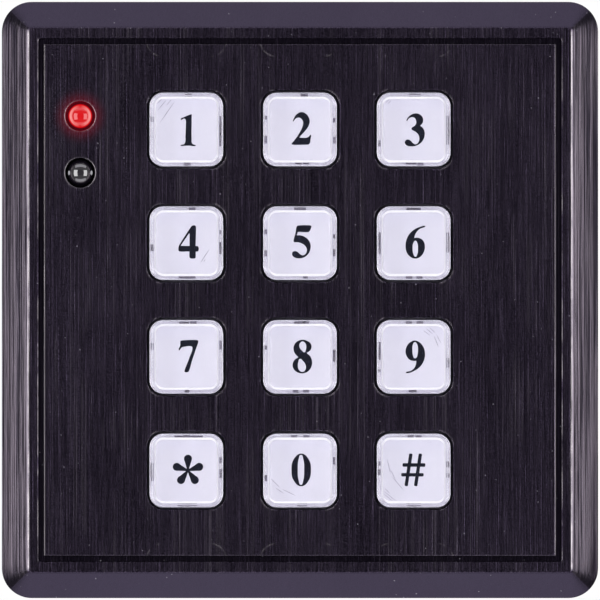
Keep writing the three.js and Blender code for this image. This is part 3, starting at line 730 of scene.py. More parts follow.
# %% Legend film and its ink
def film():
    look = Finish("legend_film", Roughness=0.4)
    x, _, z = look.axes(look.place)
    across = (x / key_pitch + 0.5).fraction() - 0.5
    up = (z / key_pitch).fraction() - 0.5
    # painted reflection: a lighter band along the middle of each film
    band = abs(across - 0.01).ramp(0.16, 0.03)
    tone = look.noise(2.5 * MM, 2, (1, 1, 3))
    base = look.mix(tone, (0.59, 0.575, 0.66, 1), (0.63, 0.615, 0.69, 1))
    base = look.mix(across.ramp(-0.05, 0.25) * 0.45, base, (0.72, 0.705, 0.79, 1))
    base = look.mix(up.ramp(0.1, 0.28) * 0.3, base, (0.54, 0.53, 0.67, 1))
    look.set({"Base Color": look.mix(band * 0.4, base, (0.69, 0.675, 0.775, 1))})
    return look


def printed_ink():
    look = Finish("legend_ink", "legend_film", Roughness=0.6, Specular_IOR_Level=0.1)
    scuff = look.noise(0.35 * MM, 3, (1, 1, 1.6), 4.0).ramp(0.62, 0.8)
    look.set({"Base Color": look.mix(scuff * 0.6, (0.001, 0.002, 0.01, 1), (0.05, 0.06, 0.13, 1))})
    return look


legend_film = film()
legend_ink = printed_ink()
print(legend_film.material.name, legend_ink.material.name)

# %% [markdown]
# The upper lamp is lit. Its glow is an emission that depends on the distance from its middle: deep red in
# the core, a paler ring where the lens gathers the light, and almost nothing at the rim. The lower lamp
# is off and looks black, with the softboxes mirrored in its dome. A dark glossy lens gives that more
# surely than a clear one over black, which turns green. Two pale spots at its sides are painted
# highlights, the softboxes seen again inside the lens.

# %% LED lenses
def lit_lens(centre):
    """Glowing red. Its ring and rim are set in millimetres from the middle."""
    look = Finish("red_led_lens", Roughness=0.04, IOR=1.55, Coat_Weight=0.3, Emission_Strength=1.0)
    x, _, z = look.axes(look.centred(centre))
    radius = (x * x + z * z) ** 0.5 / MM
    uneven = abs(x) / MM * 0.42 + look.noise(0.5 * MM) * 0.16 - 0.06
    ring = radius.ramp(1.2, 1.5) * radius.ramp(1.86, 1.7) * uneven
    rim = radius.ramp(1.9, 2.06)
    core = look.mix(ring, (0.62, 0.002, 0.005, 1), (1.0, 0.42, 0.4, 1))
    glow = look.mix(rim, core, (0.045, 0.002, 0.005, 1))
    look.set({"Base Color": (0.1, 0.002, 0.003, 1), "Emission Color": glow})
    return look


def dark_lens(centre):
    """Almost black, with painted highlights at its two sides, where the softboxes show again inside the
    lens.
    """
    look = Finish("dark_led_lens", Roughness=0.02, IOR=2.1, Coat_Weight=1.0, Coat_IOR=1.6)
    x, z = centre.x, centre.z
    # painted highlights: the softboxes mirrored again inside the lens, at its two sides
    left_highlight = look.spot(x - 1.88 * MM, z, 0.2 * MM, 0.45 * MM)
    inner_highlights = left_highlight.larger(look.spot(x + 1.9 * MM, z, 0.2 * MM, 0.45 * MM))
    ring = line(from_middle(look, centre) / MM, 1.55, 0.2) * look.noise(0.6 * MM).ramp(0.4, 0.6)
    dark = look.mix(look.noise(0.8 * MM, 2), (0.003, 0.002, 0.005, 1), (0.014, 0.011, 0.018, 1))
    inner = look.mix(ring * 0.12, dark, (0.6, 0.5, 0.55, 1))
    look.set({"Base Color": look.mix(inner_highlights, inner, (0.9, 0.9, 0.95, 1))})
    return look


red_led_lens = lit_lens(middle("status_led_upper"))
dark_led_lens = dark_lens(middle("status_led_lower"))
print(red_led_lens.material.name, dark_led_lens.material.name)

# %% [markdown]
# The parts behind the plate need no story of their own. One function makes all their finishes: a colour
# that wanders between two tones, a gloss that follows it, and a relief of the same grain.

# %% Plain finishes of the parts behind the plate
def speckled(name, dark, light, grain, roughness, relief, **constants):
    """A finish whose colour wanders between two tones, with a relief of the same grain."""
    look = Finish(name, **constants)
    tone = look.noise(grain, 4)
    look.set({"Base Color": look.mix(tone.ramp(0.3, 0.7), dark, light)})
    look.set({"Roughness": roughness + 0.15 * tone})
    look.bump(tone, relief)
    return look


housing_plastic = speckled(
    "housing_plastic", (0.008, 0.008, 0.009, 1), (0.014, 0.014, 0.016, 1), 0.25 * MM, 0.42, 0.02 * MM
)
seal_foam = speckled("seal_foam", (0.2, 0.18, 0.24, 1), (0.34, 0.31, 0.4, 1), 0.2 * MM, 0.8, 0.05 * MM)
silicone_rubber = speckled(
    "silicone_rubber", (0.018, 0.018, 0.02, 1), (0.026, 0.026, 0.028, 1), 0.6 * MM, 0.6, 0.01 * MM
)
zinc_steel = speckled(
    "zinc_steel", (0.42, 0.43, 0.45, 1), (0.56, 0.57, 0.59, 1), 4 * MM, 0.26, 0.01 * MM, Metallic=1.0
)
screw_steel = speckled(
    "screw_steel", (0.5, 0.5, 0.52, 1), (0.62, 0.62, 0.64, 1), 0.8 * MM, 0.2, 0.004 * MM, Metallic=1.0
)
black_screw = speckled(
    "black_screw", (0.02, 0.02, 0.022, 1), (0.04, 0.04, 0.043, 1), 0.5 * MM, 0.3, 0.004 * MM, Metallic=0.8
)
circuit_laminate = speckled(
    "circuit_laminate", (0.008, 0.07, 0.022, 1), (0.014, 0.1, 0.034, 1), 0.5 * MM, 0.3, 0.01 * MM
)
copper_winding = speckled(
    "copper_winding", (0.35, 0.12, 0.05, 1), (0.55, 0.22, 0.09, 1), 0.2 * MM, 0.25, 0.03 * MM, Metallic=1.0
)
black_epoxy = speckled(
    "black_epoxy", (0.008, 0.008, 0.009, 1), (0.014, 0.014, 0.015, 1), 0.2 * MM, 0.5, 0.01 * MM
)
capacitor_can = speckled(
    "capacitor_can", (0.5, 0.5, 0.52, 1), (0.6, 0.6, 0.62, 1), 0.6 * MM, 0.25, 0.004 * MM, Metallic=1.0
)
photocell_ceramic = speckled(
    "photocell_ceramic", (0.6, 0.4, 0.12, 1), (0.75, 0.52, 0.2, 1), 0.3 * MM, 0.4, 0.01 * MM
)
terminal_plastic = speckled(
    "terminal_plastic", (0.02, 0.16, 0.05, 1), (0.03, 0.21, 0.07, 1), 0.6 * MM, 0.38, 0.006 * MM
)
print(len(bpy.data.materials), "materials in all")

# %% [markdown]
# ## The face plate
# The plate is one thick piece of aluminium with a broad sloping edge, a groove milled round the panel and
# a window for each key. It starts as a rounded block: the front face is inset and pushed out to make the
# slope, and the windows and the groove are cut by solids of their own shape.

# %% Plate blank
PLATE_RADIUS = 5 * MM
SLOPE_DEPTH = 2.2 * MM
PLATE_THICKNESS = 4 * MM
GROOVE_DEPTH = 0.7 * MM
WINDOW_GAP = 0.45 * MM

plate_back = plate_lo.y + PLATE_THICKNESS
plate_middle = (plate_lo + plate_hi) / 2

plate = rounded_block(
    "brushed_face_plate", plate_middle, plate_width, plate_height, PLATE_RADIUS,
    plate_lo.y + SLOPE_DEPTH, plate_back, 16,
)
with editing(plate):
    pick_faces(lambda c, n: n.y < -0.9)
    bpy.ops.mesh.inset(thickness=SLOPE_WIDTH, depth=SLOPE_DEPTH)
print("plate front at", round(min(v.co.y for v in plate.data.vertices) / MM, 3), "mm")

# %% [markdown]
# The groove, the windows and the lamp holes are milled through or into the blank. Each is a solid of its
# own shape that a Boolean takes away. The groove's solid is a frame: a rounded block less a smaller one.

# %% Groove and windows
past = 1 * MM  # how far a cutter runs past the face that it opens


def groove_cutter():
    inner = GROOVE_INSET + GROOVE_WIDTH
    ring = rounded_block(
        "groove_cutter", plate_middle, plate_width - 2 * GROOVE_INSET, plate_height - 2 * GROOVE_INSET,
        0.5 * MM, plate_lo.y - past, plate_lo.y + GROOVE_DEPTH, 4,
    )
    island = block(
        "groove_island",
        (plate_lo.x + inner, plate_lo.y - 2 * past, plate_lo.z + inner),
        (plate_hi.x - inner, plate_lo.y + 2 * past, plate_hi.z - inner),
    )
    cut(ring, island)
    return ring


window_size = cover_size + 2 * WINDOW_GAP
windows = [
    rounded_block(
        f"window_cutter_{name}", centre, window_size, window_size, KEY_RADIUS + WINDOW_GAP,
        plate_lo.y - past, plate_back + past, 10,
    )
    for name, centre in key_centres.items()
]
led_holes = [
    rod(f"cutter_{node}", middle(node), LED_HOLE_RADIUS, plate_lo.y - past, plate_back + past)
    for node in LAMPS
]
cut(plate, groove_cutter(), joined("window_cutters", *windows, *led_holes))
print(len(windows), "windows and", len(led_holes), "lamp holes")

# %% [markdown]
# No milled edge is left sharp: a small round catches the light and makes the plate look real. The edges
# are picked by their place, from the outside in, because each kind of edge has its own width.

# %% Broken edges
def reach(v):
    """How far a point is from the plate's upright or level middle line, whichever is more."""
    return max(abs(v.x - plate_middle.x), abs(v.z - plate_middle.z))


def break_edges(width, segments, test):
    """Rounds the sharp edges that lie in the plate's front and pass the test."""
    with editing(plate, "EDGE"):
        level = lambda a, b: near(a.y, plate_lo.y) and near(b.y, plate_lo.y) and test(a) and test(b)
        pick_edges(level, math.radians(15))
        bpy.ops.mesh.bevel(offset=width, segments=segments, affect="EDGES")


break_edges(0.3 * MM, 3, lambda v: reach(v) > (crease + outer_lip) / 2)
break_edges(0.15 * MM, 2, lambda v: inner_lip + 0.2 * MM < reach(v) < crease - 1 * MM)
break_edges(0.28 * MM, 3, lambda v: near(reach(v), inner_lip, 5e-6))
break_edges(0.15 * MM, 3, lambda v: reach(v) < inner_lip - 1 * MM)
print("plate has", len(plate.data.polygons), "faces")

# %% [markdown]
# Behind the plate stand eight posts. The four short ones carry the board and the four long ones take the
# housing's screws. Each is a rod with a thread hole, welded on so that plate and posts are one piece.

# %% Standoffs for the board and the housing
def standoff(screw, radius, y_back, thread_radius):
    """A post behind the plate, with the hole that its screw goes into."""
    centre = middle(screw)
    post = rod(f"post_{screw}", centre, radius, plate_back - 0.2 * MM, y_back)
    cut(post, rod("thread", centre, thread_radius, front(screw) - THREAD_SPARE, y_back + past))
    return post


THREAD_SPARE = 0.6 * MM
BOARD_POST, BOARD_THREAD = 3 * MM, 1.3 * MM  # radii
HOUSING_POST, HOUSING_THREAD = 3.5 * MM, 1.6 * MM
SCREW_NUMBERS = (1, 2, 3, 4)

for i in SCREW_NUMBERS:
    weld_on(plate, standoff(f"board_screw_{i}", BOARD_POST, front("circuit_board"), BOARD_THREAD))
    weld_on(plate, standoff(f"housing_screw_{i}", HOUSING_POST, plate_hi.y, HOUSING_THREAD))
soften(plate, 0.15 * MM, 2, 40)
finished(plate, anodised_aluminium, "panel", "face_plate")
print("plate and posts have", len(plate.data.polygons), "faces")

# %% [markdown]
# ## The keys
# A key is a white carrier with a raised block, a printed film on the block, and a clear cap over both.
# All twelve are alike but for the print and the marks that moulding left, so each sub-piece is modelled
# once round the middle key and copied. The cap comes first: a rounded block with a filleted front,
# hollowed from behind, with a snap tab on each side.

# %% Clear cap
CAP_HEIGHT = 2.2 * MM
CAP_TOP = 1.05 * MM
CAP_FILLET = 0.6 * MM
TAB = 0.3 * MM  # how thick each of the cap's four snap tabs is
TAB_LENGTH = 1.8 * MM
TAB_HALF_WIDTH = {"N": 0.4, "S": 0.4, "E": 1.2, "W": 1.2}  # in millimetres
SIDES = {"N": (0, 1), "S": (0, -1), "E": (1, 0), "W": (-1, 0)}

home = key_centres["5"]
cap_front = cover_lo.y
cap_rim = cap_front + CAP_HEIGHT


def strip(name, side, start, end, near_edge, far_edge, y_front, y_back):
    """A block along one side of the middle key, from start to end and from near_edge to far_edge."""
    out_x, out_z = SIDES[side]
    along_x, along_z = abs(out_z), abs(out_x)
    a = Vector((out_x * near_edge + along_x * start, y_front, out_z * near_edge + along_z * start))
    b = Vector((out_x * far_edge + along_x * end, y_back, out_z * far_edge + along_z * end))
    lo = Vector((min(a.x, b.x) + home.x, a.y, min(a.z, b.z) + home.z))
    hi = Vector((max(a.x, b.x) + home.x, b.y, max(a.z, b.z) + home.z))
    return block(name, lo, hi)


cap = rounded_block("cap", home, cover_size, cover_size, KEY_RADIUS, cap_front, cap_rim, 8)
with editing(cap, "EDGE"):
    pick_edges(lambda a, b: near(a.y, cap_front) and near(b.y, cap_front))
    bpy.ops.mesh.bevel(offset=CAP_FILLET, segments=6, affect="EDGES")
with editing(cap):
    pick_faces(lambda c, n: n.y > 0.9)
    bpy.ops.mesh.inset(thickness=CAP_WALL)
    push(CAP_HEIGHT - CAP_TOP)
tabs = []
for side in SIDES:
    half_width = TAB_HALF_WIDTH[side] * MM
    edges = (cap_inside, cap_inside + TAB)
    depths = (cap_rim - TAB, cap_rim + TAB_LENGTH)
    tabs.append(strip(f"tab_{side}", side, -half_width, half_width, *edges, *depths))
weld_on(cap, joined("tabs", *tabs))
choose(cap)
bpy.ops.object.shade_smooth_by_angle(angle=math.radians(30))
print("cap has", len(cap.data.polygons), "faces")

# %% [markdown]
# The carrier is a flange that holds the key behind the plate, a step for the cap and a raised block for
# the film, so it grows by insets and extrusions from the flange. From behind it is hollow, and a foot in
# its middle presses the rubber dome. The block is a touch taller than it is wide.

# %% White carrier
FLANGE_THICKNESS = 1 * MM
FLANGE_CLEARANCE = 0.3 * MM
BLOCK_INSET = 0.77 * MM
BLOCK_NARROWER = 0.985
BLOCK_TALLER = 1.018
CARRIER_WALL = 1.35 * MM
CARRIER_ROOF = 0.9 * MM
FOOT_RADIUS = 2.75 * MM

base_lo, base_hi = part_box("key_base_5")
flange_size = base_hi.x - base_lo.x
flange_rim = (flange_size - cover_size) / 2
flange_front = plate_back + FLANGE_CLEARANCE
flange_back = flange_front + FLANGE_THICKNESS
shoulder = cap_rim + 0.05 * MM

carrier = rounded_block(
    "carrier", home, flange_size, flange_size, KEY_RADIUS + flange_rim, flange_front, flange_back, 8
)
with editing(carrier):
    pick_faces(lambda c, n: n.y < -0.9)
    bpy.ops.mesh.inset(thickness=flange_rim)
    push(flange_front - shoulder)
    bpy.ops.mesh.inset(thickness=BLOCK_INSET)
    bpy.ops.transform.resize(value=(BLOCK_NARROWER, 1, BLOCK_TALLER), center_override=home)
    push(shoulder - base_lo.y)
    pick_faces(lambda c, n: n.y > 0.9)
    bpy.ops.mesh.inset(thickness=flange_rim + CARRIER_WALL)
    push(flange_back - shoulder - CARRIER_ROOF)
foot_front = shoulder + CARRIER_ROOF - 0.2 * MM
weld_on(carrier, rod("foot", home, FOOT_RADIUS, foot_front, base_hi.y, 32))
print("carrier has", len(carrier.data.polygons), "faces")

# %% [markdown]
# A thin ring of grey foam on the flange keeps dust out of the window. It is what shows in the gap round a
# key. The ring is cut from a rounded block by the carrier's own outline.

# %% Dust seal
SEAL_THICKNESS = 0.25 * MM
SKIRT_SPARE = 0.02 * MM

seal_front = flange_front - SEAL_THICKNESS
seal = rounded_block(
    "seal", home, flange_size, flange_size, KEY_RADIUS + flange_rim, seal_front, flange_front, 8
)
skirt_size = cover_size + SKIRT_SPARE
skirt = rounded_block(
    "skirt", home, skirt_size, skirt_size, KEY_RADIUS, flange_front - 2 * MM, flange_back, 8
)
cut(seal, skirt)
print("seal has", len(seal.data.polygons), "faces")

# %% [markdown]
# The film is a die-cut square as thick as its CAD piece, with round corners that follow the block's.

# %% Film
FILM_RADIUS = 1.18 * MM
film_lo, film_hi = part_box("legend_5")
film_width, film_height = film_hi.x - film_lo.x, film_hi.z - film_lo.z
film_piece = rounded_block("film", home, film_width, film_height, FILM_RADIUS, film_lo.y, film_hi.y, 6)
print(f"film {film_width / MM:.2f} by {film_height / MM:.2f} mm")

# %% [markdown]
# Narrow slots stay open between the cap's wall and the step of a carrier, a little differently in each
# moulding. What stays open looks dark through the cap, so every key has its own short marks. The dark in
# them is painted shade: blocks of foam fill the slots a little below the step. A mark is a side of the key,
# where along that side it starts and ends, and how far it reaches out, all in millimetres.

# %% Marks that stay open
BOLD, PLAIN, THIN = 0.26, 0.09, 0.05
MARKS = {
    "1": [("N", -0.2, 0.9, THIN), ("S", -0.4, 0.7, BOLD), ("E", -2.8, 2.3, THIN), ("W", 1.3, 2.2, THIN)],
    "2": [
        ("N", 0.1, 1.3, PLAIN), ("S", -0.8, 0.3, THIN), ("S", 0.5, 1.5, THIN),
        ("W", -2.3, -1, PLAIN), ("W", 1.7, 2.3, THIN), ("E", -2.3, -1.2, PLAIN), ("E", 1.2, 1.9, THIN),
    ],
    "3": [
        ("N", -0.8, 1.2, THIN), ("S", 0.67, 1.67, BOLD), ("S", -1.3, 0.5, THIN),
        ("W", -2.8, -1.8, PLAIN), ("E", -2.5, 2.3, THIN),
    ],
    "4": [
        ("N", 0.4, 1.5, PLAIN), ("S", -1.3, 0.1, THIN), ("S", 0.1, 1.5, PLAIN), ("W", -1.3, -0.2, PLAIN),
        ("E", 1.5, 2.2, THIN), ("E", -1.8, 0.2, THIN),
    ],
    "5": [
        ("N", -1, 1, PLAIN), ("S", 0.5, 1.3, THIN), ("W", 1.5, 2.3, PLAIN), ("W", -2.2, -1.2, PLAIN),
        ("E", 0.8, 1.5, THIN), ("E", -2.2, -1, THIN),
    ],
    "6": [
        ("S", -1.3, -0.2, PLAIN), ("S", 0.5, 1.5, PLAIN), ("N", -1.2, 1.2, THIN), ("W", -1.8, 1.8, THIN),
        ("E", -1.5, 1.8, THIN),
    ],
    "7": [
        ("N", 0.6, 1.7, PLAIN), ("N", -1.2, 0.4, THIN), ("S", -0.3, 0.5, THIN), ("E", 1.2, 2.7, PLAIN),
        ("W", 1.2, 2.3, THIN),
    ],
    "8": [
        ("N", -1, 0.5, PLAIN), ("N", 0.5, 1.5, THIN), ("S", -1.2, -0.3, PLAIN), ("S", 0.5, 1.5, PLAIN),
        ("W", 1.2, 1.9, THIN), ("E", -0.8, 1.2, THIN),
    ],
    "9": [
        ("N", -1.3, -0.3, PLAIN), ("N", 0.5, 1.6, PLAIN), ("W", -0.5, 2.5, THIN), ("W", -2.5, -2.1, PLAIN),
        ("S", -0.8, 0.5, THIN), ("E", -1.8, -0.2, THIN),
    ],
    "star": [
        ("N", -2, -0.54, THIN), ("N", -0.5, 0.7, PLAIN), ("N", 0.74, 2.7, THIN), ("S", -1.5, 1.8, THIN),
        ("W", -1.8, 1.2, THIN), ("E", 1.2, 2.2, PLAIN), ("E", -1.3, 0.2, PLAIN),
    ],
    "0": [
        ("N", -1.5, -0.5, PLAIN), ("N", 0.57, 1.57, PLAIN), ("S", -0.5, 1.2, THIN), ("W", -1.8, -0.8, THIN),
        ("E", 1, 2.2, THIN),
    ],
    "hash": [
        ("N", -1, 0, PLAIN), ("N", 0.33, 1.33, PLAIN), ("W", 0.8, 1.5, PLAIN), ("W", -0.8, 0.2, PLAIN),
        ("S", -1.2, 1.2, THIN), ("E", 0.5, 1.5, THIN), ("E", -1.2, -0.5, THIN),
    ],
}
# The foam that fills each slot stands in for the slot's shade: painted shade.
MARK_GAP = 0.005 * MM  # between a slot and the foam that fills it
MARK_INNER = cap_inside - 0.04 * MM
MARK_DEPTH = 1.5 * MM


def mark_strips(name, marks, y_front, y_back, margin):
    """The blocks of one key's marks, each a margin smaller all round than its slot."""
    strips = []
    for i, (side, start, end, thickness) in enumerate(marks):
        strips.append(strip(
            f"{name}_{i}", side, start * MM + margin, end * MM - margin,
            MARK_INNER + margin, cap_inside + thickness * MM - margin, y_front, y_back,
        ))
    return strips


print(sum(len(marks) for marks in MARKS.values()), "open marks on twelve keys")

# %% [markdown]
# Each key is now copied from the pattern pieces. Its carrier gets its own slots, and blocks of foam joined
# to its seal fill them as painted shade. The copies are moved by the key's distance from the middle one and
# ride on the key's body.

# %% Twelve keys
for name, centre in key_centres.items():
    shift = centre - home
    shift.y = 0
    body = f"key_{name}"
    own_carrier = copied(carrier, f"carrier_{name}")
    cut(own_carrier, *mark_strips("slot", MARKS[name], shoulder - 0.02 * MM, shoulder + MARK_DEPTH, 0))
    soften(own_carrier, 0.03 * MM, 1)
    # foam blocks in the slots, a little below the step: painted shade
    slot_shade_blocks = mark_strips("slot_shade_block", MARKS[name], shoulder + 0.1 * MM, shoulder + MARK_DEPTH, MARK_GAP)
    own_seal = joined(f"seal_{name}_home", copied(seal, "seal_ring"), *slot_shade_blocks)
    finished(copied(own_carrier, f"moulded_carrier_{name}", shift), white_abs, body, f"key_base_{name}")
    finished(copied(own_seal, f"seal_{name}", shift), seal_foam, body)
    finished(copied(film_piece, f"film_{name}", shift), legend_film, body, f"legend_{name}")
    finished(copied(cap, f"cap_{name}", shift), clear_polycarbonate, body, f"key_cover_{name}")
    bpy.data.objects.remove(own_carrier)
    bpy.data.objects.remove(own_seal)
for pattern in (carrier, seal, film_piece, cap):
    bpy.data.objects.remove(pattern)
print(len(key_centres), "keys of four pieces each")

# %% [markdown]
# ## The printed characters
# The films carry bold figures with thin upstrokes and round drops. Each outline is a closed curve with
# only the points that it needs: a point is smooth unless it is marked as a corner.

# %% Outlines of the figures, in millimetres from the middle of the key
C = "corner"
FIGURES = {
    "1": [[
        (-0.95, 1.72), (-0.4, 2.06), (0.3, 2.38), (0.86, 2.56, C), (0.9, 2.5, C), (0.88, 1.2),
        (0.88, -1.6), (0.93, -2.25), (1.12, -2.45), (1.5, -2.56), (1.57, -2.66), (1.45, -2.74),
        (0.3, -2.68), (-0.85, -2.72), (-0.97, -2.66), (-0.88, -2.56), (-0.42, -2.46), (-0.22, -2.2),
        (-0.15, -1), (-0.08, 0.9), (-0.12, 1.6), (-0.4, 1.82), (-0.85, 1.62),
    ]],
    "2": [[
        (-1.2, 1.4, C), (-1, 1.9), (-0.5, 2.6), (0.25, 2.9), (1, 2.62), (1.5, 1.95), (1.62, 1.3),
        (1.38, 0.5), (0.8, -0.3), (0.2, -0.95), (-0.12, -1.34, C), (0.5, -1.38), (1.1, -1.36),
        (1.5, -1.16), (1.76, -0.88), (1.88, -0.98, C), (1.76, -1.6), (1.62, -2.32), (1.38, -2.52, C),
        (-1.3, -2.5), (-1.44, -2.38, C), (-0.8, -1.62), (-0.12, -0.62), (0.34, 0.3), (0.52, 1.05),
        (0.35, 1.66), (-0.05, 1.95), (-0.45, 1.95), (-0.82, 1.72), (-1.06, 1.34, C),
    ]],
    "3": [[
        (-1.24, 1.5, C), (-0.95, 2), (-0.4, 2.48), (0.3, 2.69), (1, 2.54), (1.48, 2.05), (1.6, 1.5),
        (1.42, 0.98), (1.08, 0.64, C), (1.52, 0.28), (1.8, -0.3), (1.85, -0.85), (1.64, -1.62),
        (1.1, -2.33), (0.4, -2.7), (-0.4, -2.81), (-1.1, -2.68), (-1.43, -2.33), (-1.45, -2),
        (-1.25, -1.74), (-0.9, -1.67), (-0.5, -1.86), (-0.1, -2.26), (0.25, -2.45), (0.62, -2.33),
        (0.88, -1.93), (0.95, -1.4), (0.76, -0.82), (0.3, -0.36), (-0.28, -0.04), (-0.38, 0.14),
        (-0.2, 0.4), (0.16, 0.62), (0.4, 0.98), (0.42, 1.42), (0.24, 1.84), (-0.1, 2.03), (-0.55, 1.99),
        (-0.86, 1.78), (-1.1, 1.42, C),
    ]],
    "4": [
        [
            (0.92, 2.9), (1.5, 2.92), (1.58, 2.82), (1.55, -0.5, C), (1.9, -0.5), (2, -0.62), (2.02, -1.25),
            (1.92, -1.36), (1.56, -1.38, C), (1.54, -2.42), (1.46, -2.51), (0.66, -2.51), (0.56, -2.42),
            (0.52, -1.38, C), (-1.18, -1.36), (-1.27, -1.27), (-1.25, -0.48), (-1.15, -0.26), (0.8, 2.76),
        ],
        [(0.54, -0.46, C), (-0.9, -0.46, C), (-0.86, -0.3, C), (0.44, 1.62, C), (0.54, 1.56, C)],
    ],
    "5": [[
        (-0.4, 2.92), (1.82, 2.94), (1.9, 2.84), (1.56, 1.97), (1.46, 1.88), (-0.36, 1.88, C),
        (-0.52, 1.3, C), (0.12, 1.3), (0.82, 1.04), (1.42, 0.52), (1.76, -0.25), (1.74, -0.95),
        (1.45, -1.7), (0.8, -2.3), (0, -2.53), (-0.75, -2.44), (-1.2, -2.14), (-1.33, -1.78),
        (-1.18, -1.44), (-0.8, -1.32), (-0.4, -1.46), (0.05, -1.86), (0.42, -2.02), (0.82, -1.87),
        (1.08, -1.5), (1.15, -1.05), (0.9, -0.5), (0.3, -0.05), (-0.4, 0.16), (-1, 0.2), (-1.08, 0.32),
        (-0.78, 1.6), (-0.52, 2.82),
    ]],
    "6": [
        [
            (1.84, 2.9), (1, 2.7), (0.1, 2.28), (-0.65, 1.6), (-1.16, 0.68), (-1.35, -0.42),
            (-1.16, -1.5), (-0.62, -2.22), (0.22, -2.57), (1.1, -2.28), (1.68, -1.5), (1.88, -0.6),
            (1.62, 0.36), (1.04, 0.82), (0.5, 0.92), (0.1, 0.86, C), (0.26, 1.42), (0.6, 2), (1.12, 2.44),
            (1.84, 2.7), (1.95, 2.82),
        ],
        [
            (0.3, 0.42), (0.62, 0), (0.72, -0.9), (0.63, -1.8), (0.32, -2.26), (-0.03, -1.86),
            (-0.17, -0.9), (-0.04, 0.06),
        ],
    ],
    "7": [[
        (-0.9, 2.7), (1.92, 2.75), (2, 2.62), (1.6, 1.3), (1, -0.5), (0.4, -2.44), (0.28, -2.52),
        (-0.24, -2.52), (-0.31, -2.4), (0.45, -0.3), (1.02, 1.5), (0.9, 1.7), (-0.3, 1.68), (-0.76, 1.56),
        (-1, 1.26), (-1.12, 1.08), (-1.25, 1.14), (-1.02, 1.9), (-0.98, 2.62),
    ]],
    "8": [
        [
            (0.45, 2.85), (1.2, 2.66), (1.78, 2.2), (1.92, 1.65), (1.7, 1.08), (1.1, 0.64, C),
            (1.68, 0.12), (2, -0.7), (1.94, -1.5), (1.5, -2.3), (0.85, -2.68), (0.2, -2.76),
            (-0.68, -2.42), (-1.15, -1.82), (-1.22, -1.2), (-0.98, -0.6), (-0.27, -0.06, C), (-0.8, 0.5),
            (-1.08, 1.3), (-0.98, 1.92), (-0.5, 2.54),
        ],
        [
            (0.45, 2.56), (0.92, 2.22), (1.05, 1.7), (0.96, 1.16), (0.76, 0.76), (0.32, 1.05), (0, 1.42),
            (-0.12, 1.92), (0.06, 2.36),
        ],
        [
            (0, -0.33), (0.5, -0.7), (0.88, -1.22), (1, -1.8), (0.8, -2.3), (0.36, -2.51), (-0.13, -2.22),
            (-0.35, -1.6), (-0.28, -0.9),
        ],
    ],
    "9": [
        [
            (0.2, 2.72), (0.92, 2.46), (1.6, 1.68), (1.9, 0.6), (1.78, -0.4), (1.4, -1.22), (0.8, -1.9),
            (0, -2.4), (-1, -2.72), (-1.3, -2.66), (-1.24, -2.54), (-0.5, -2.34), (0.06, -1.9),
            (0.36, -1.3), (0.45, -0.64, C), (0, -0.68), (-0.7, -0.46), (-1.2, 0.2), (-1.35, 1),
            (-1.06, 1.9), (-0.5, 2.48),
        ],
        [
            (0.2, 2.46), (0.58, 2.1), (0.72, 1.4), (0.65, 0.4), (0.46, -0.12), (0.16, -0.24), (-0.1, 0.2),
            (-0.22, 1.1), (-0.14, 1.98),
        ],
    ],
}


def oval(x, y, half_width, half_height, points=8):
    """The points of an upright oval."""
    turns = [2 * math.pi * i / points for i in range(points)]
    return [(x + half_width * math.cos(t), y + half_height * math.sin(t)) for t in turns]


def star(x, y, reach, drop, neck):
    """Five drops round a middle, each a round end of radius drop that runs in to a thin neck."""
    outline = []
    for i in range(5):
        turn = math.radians(90 - 72 * i)
        along = (math.cos(turn), math.sin(turn))
        across = (math.sin(turn), -math.cos(turn))
        profile = [(0.32, -neck, C), (reach - 0.55, -0.78 * drop), (reach, -drop)]
        profile += [(reach + 0.72 * drop, -0.7 * drop), (reach + drop, 0)]
        profile += [(reach + 0.72 * drop, 0.7 * drop), (reach, drop)]
        profile += [(reach - 0.55, 0.78 * drop), (0.32, neck, C)]
        for out, side, *kind in profile:
            point_x = x + out * along[0] + side * across[0]
            point_y = y + out * along[1] + side * across[1]
            outline.append((point_x, point_y, *kind))
    return outline


FIGURES["0"] = [oval(0.2, 0.1, 1.625, 2.725), oval(0.165, 0.11, 0.54, 2.5)]
FIGURES["star"] = [star(0.27, 0, 1.97, 0.66, 0.2)]
print(len(FIGURES), "outlined figures")

# %% [markdown]
# An outline becomes a filled flat curve, then a mesh, and is turned upright onto the film. Inner outlines
# cut their counters out by themselves, because a flat curve is filled by the even-odd rule. The hash is
# four straight bars with rounded corners, welded together.

# %% From outlines to ink
INK = 0.02 * MM
BAR_RADIUS = 0.17 * MM


def figure(name, outlines):
    """A thin upright sheet of ink in the shape of the outlines, at the origin."""
    curve = bpy.data.curves.new(name, "CURVE")
    curve.dimensions = "2D"
    curve.fill_mode = "BOTH"
    curve.resolution_u = 6
    curve.extrude = INK / 2
    for outline in outlines:
        spline = curve.splines.new("BEZIER")
        spline.bezier_points.add(len(outline) - 1)
        spline.use_cyclic_u = True
        for point, (x, y, *kind) in zip(spline.bezier_points, outline):
            point.co = (x * MM, y * MM, 0)
            handle = "VECTOR" if kind else "AUTO"
            point.handle_left_type = handle
            point.handle_right_type = handle
    obj = bpy.data.objects.new(name, curve)
    bpy.context.scene.collection.objects.link(obj)
    choose(obj)
    bpy.ops.object.convert(target="MESH")
    obj.rotation_euler = (math.radians(90), 0, 0)
    bpy.ops.object.transform_apply(location=False, rotation=True, scale=False)
    return obj


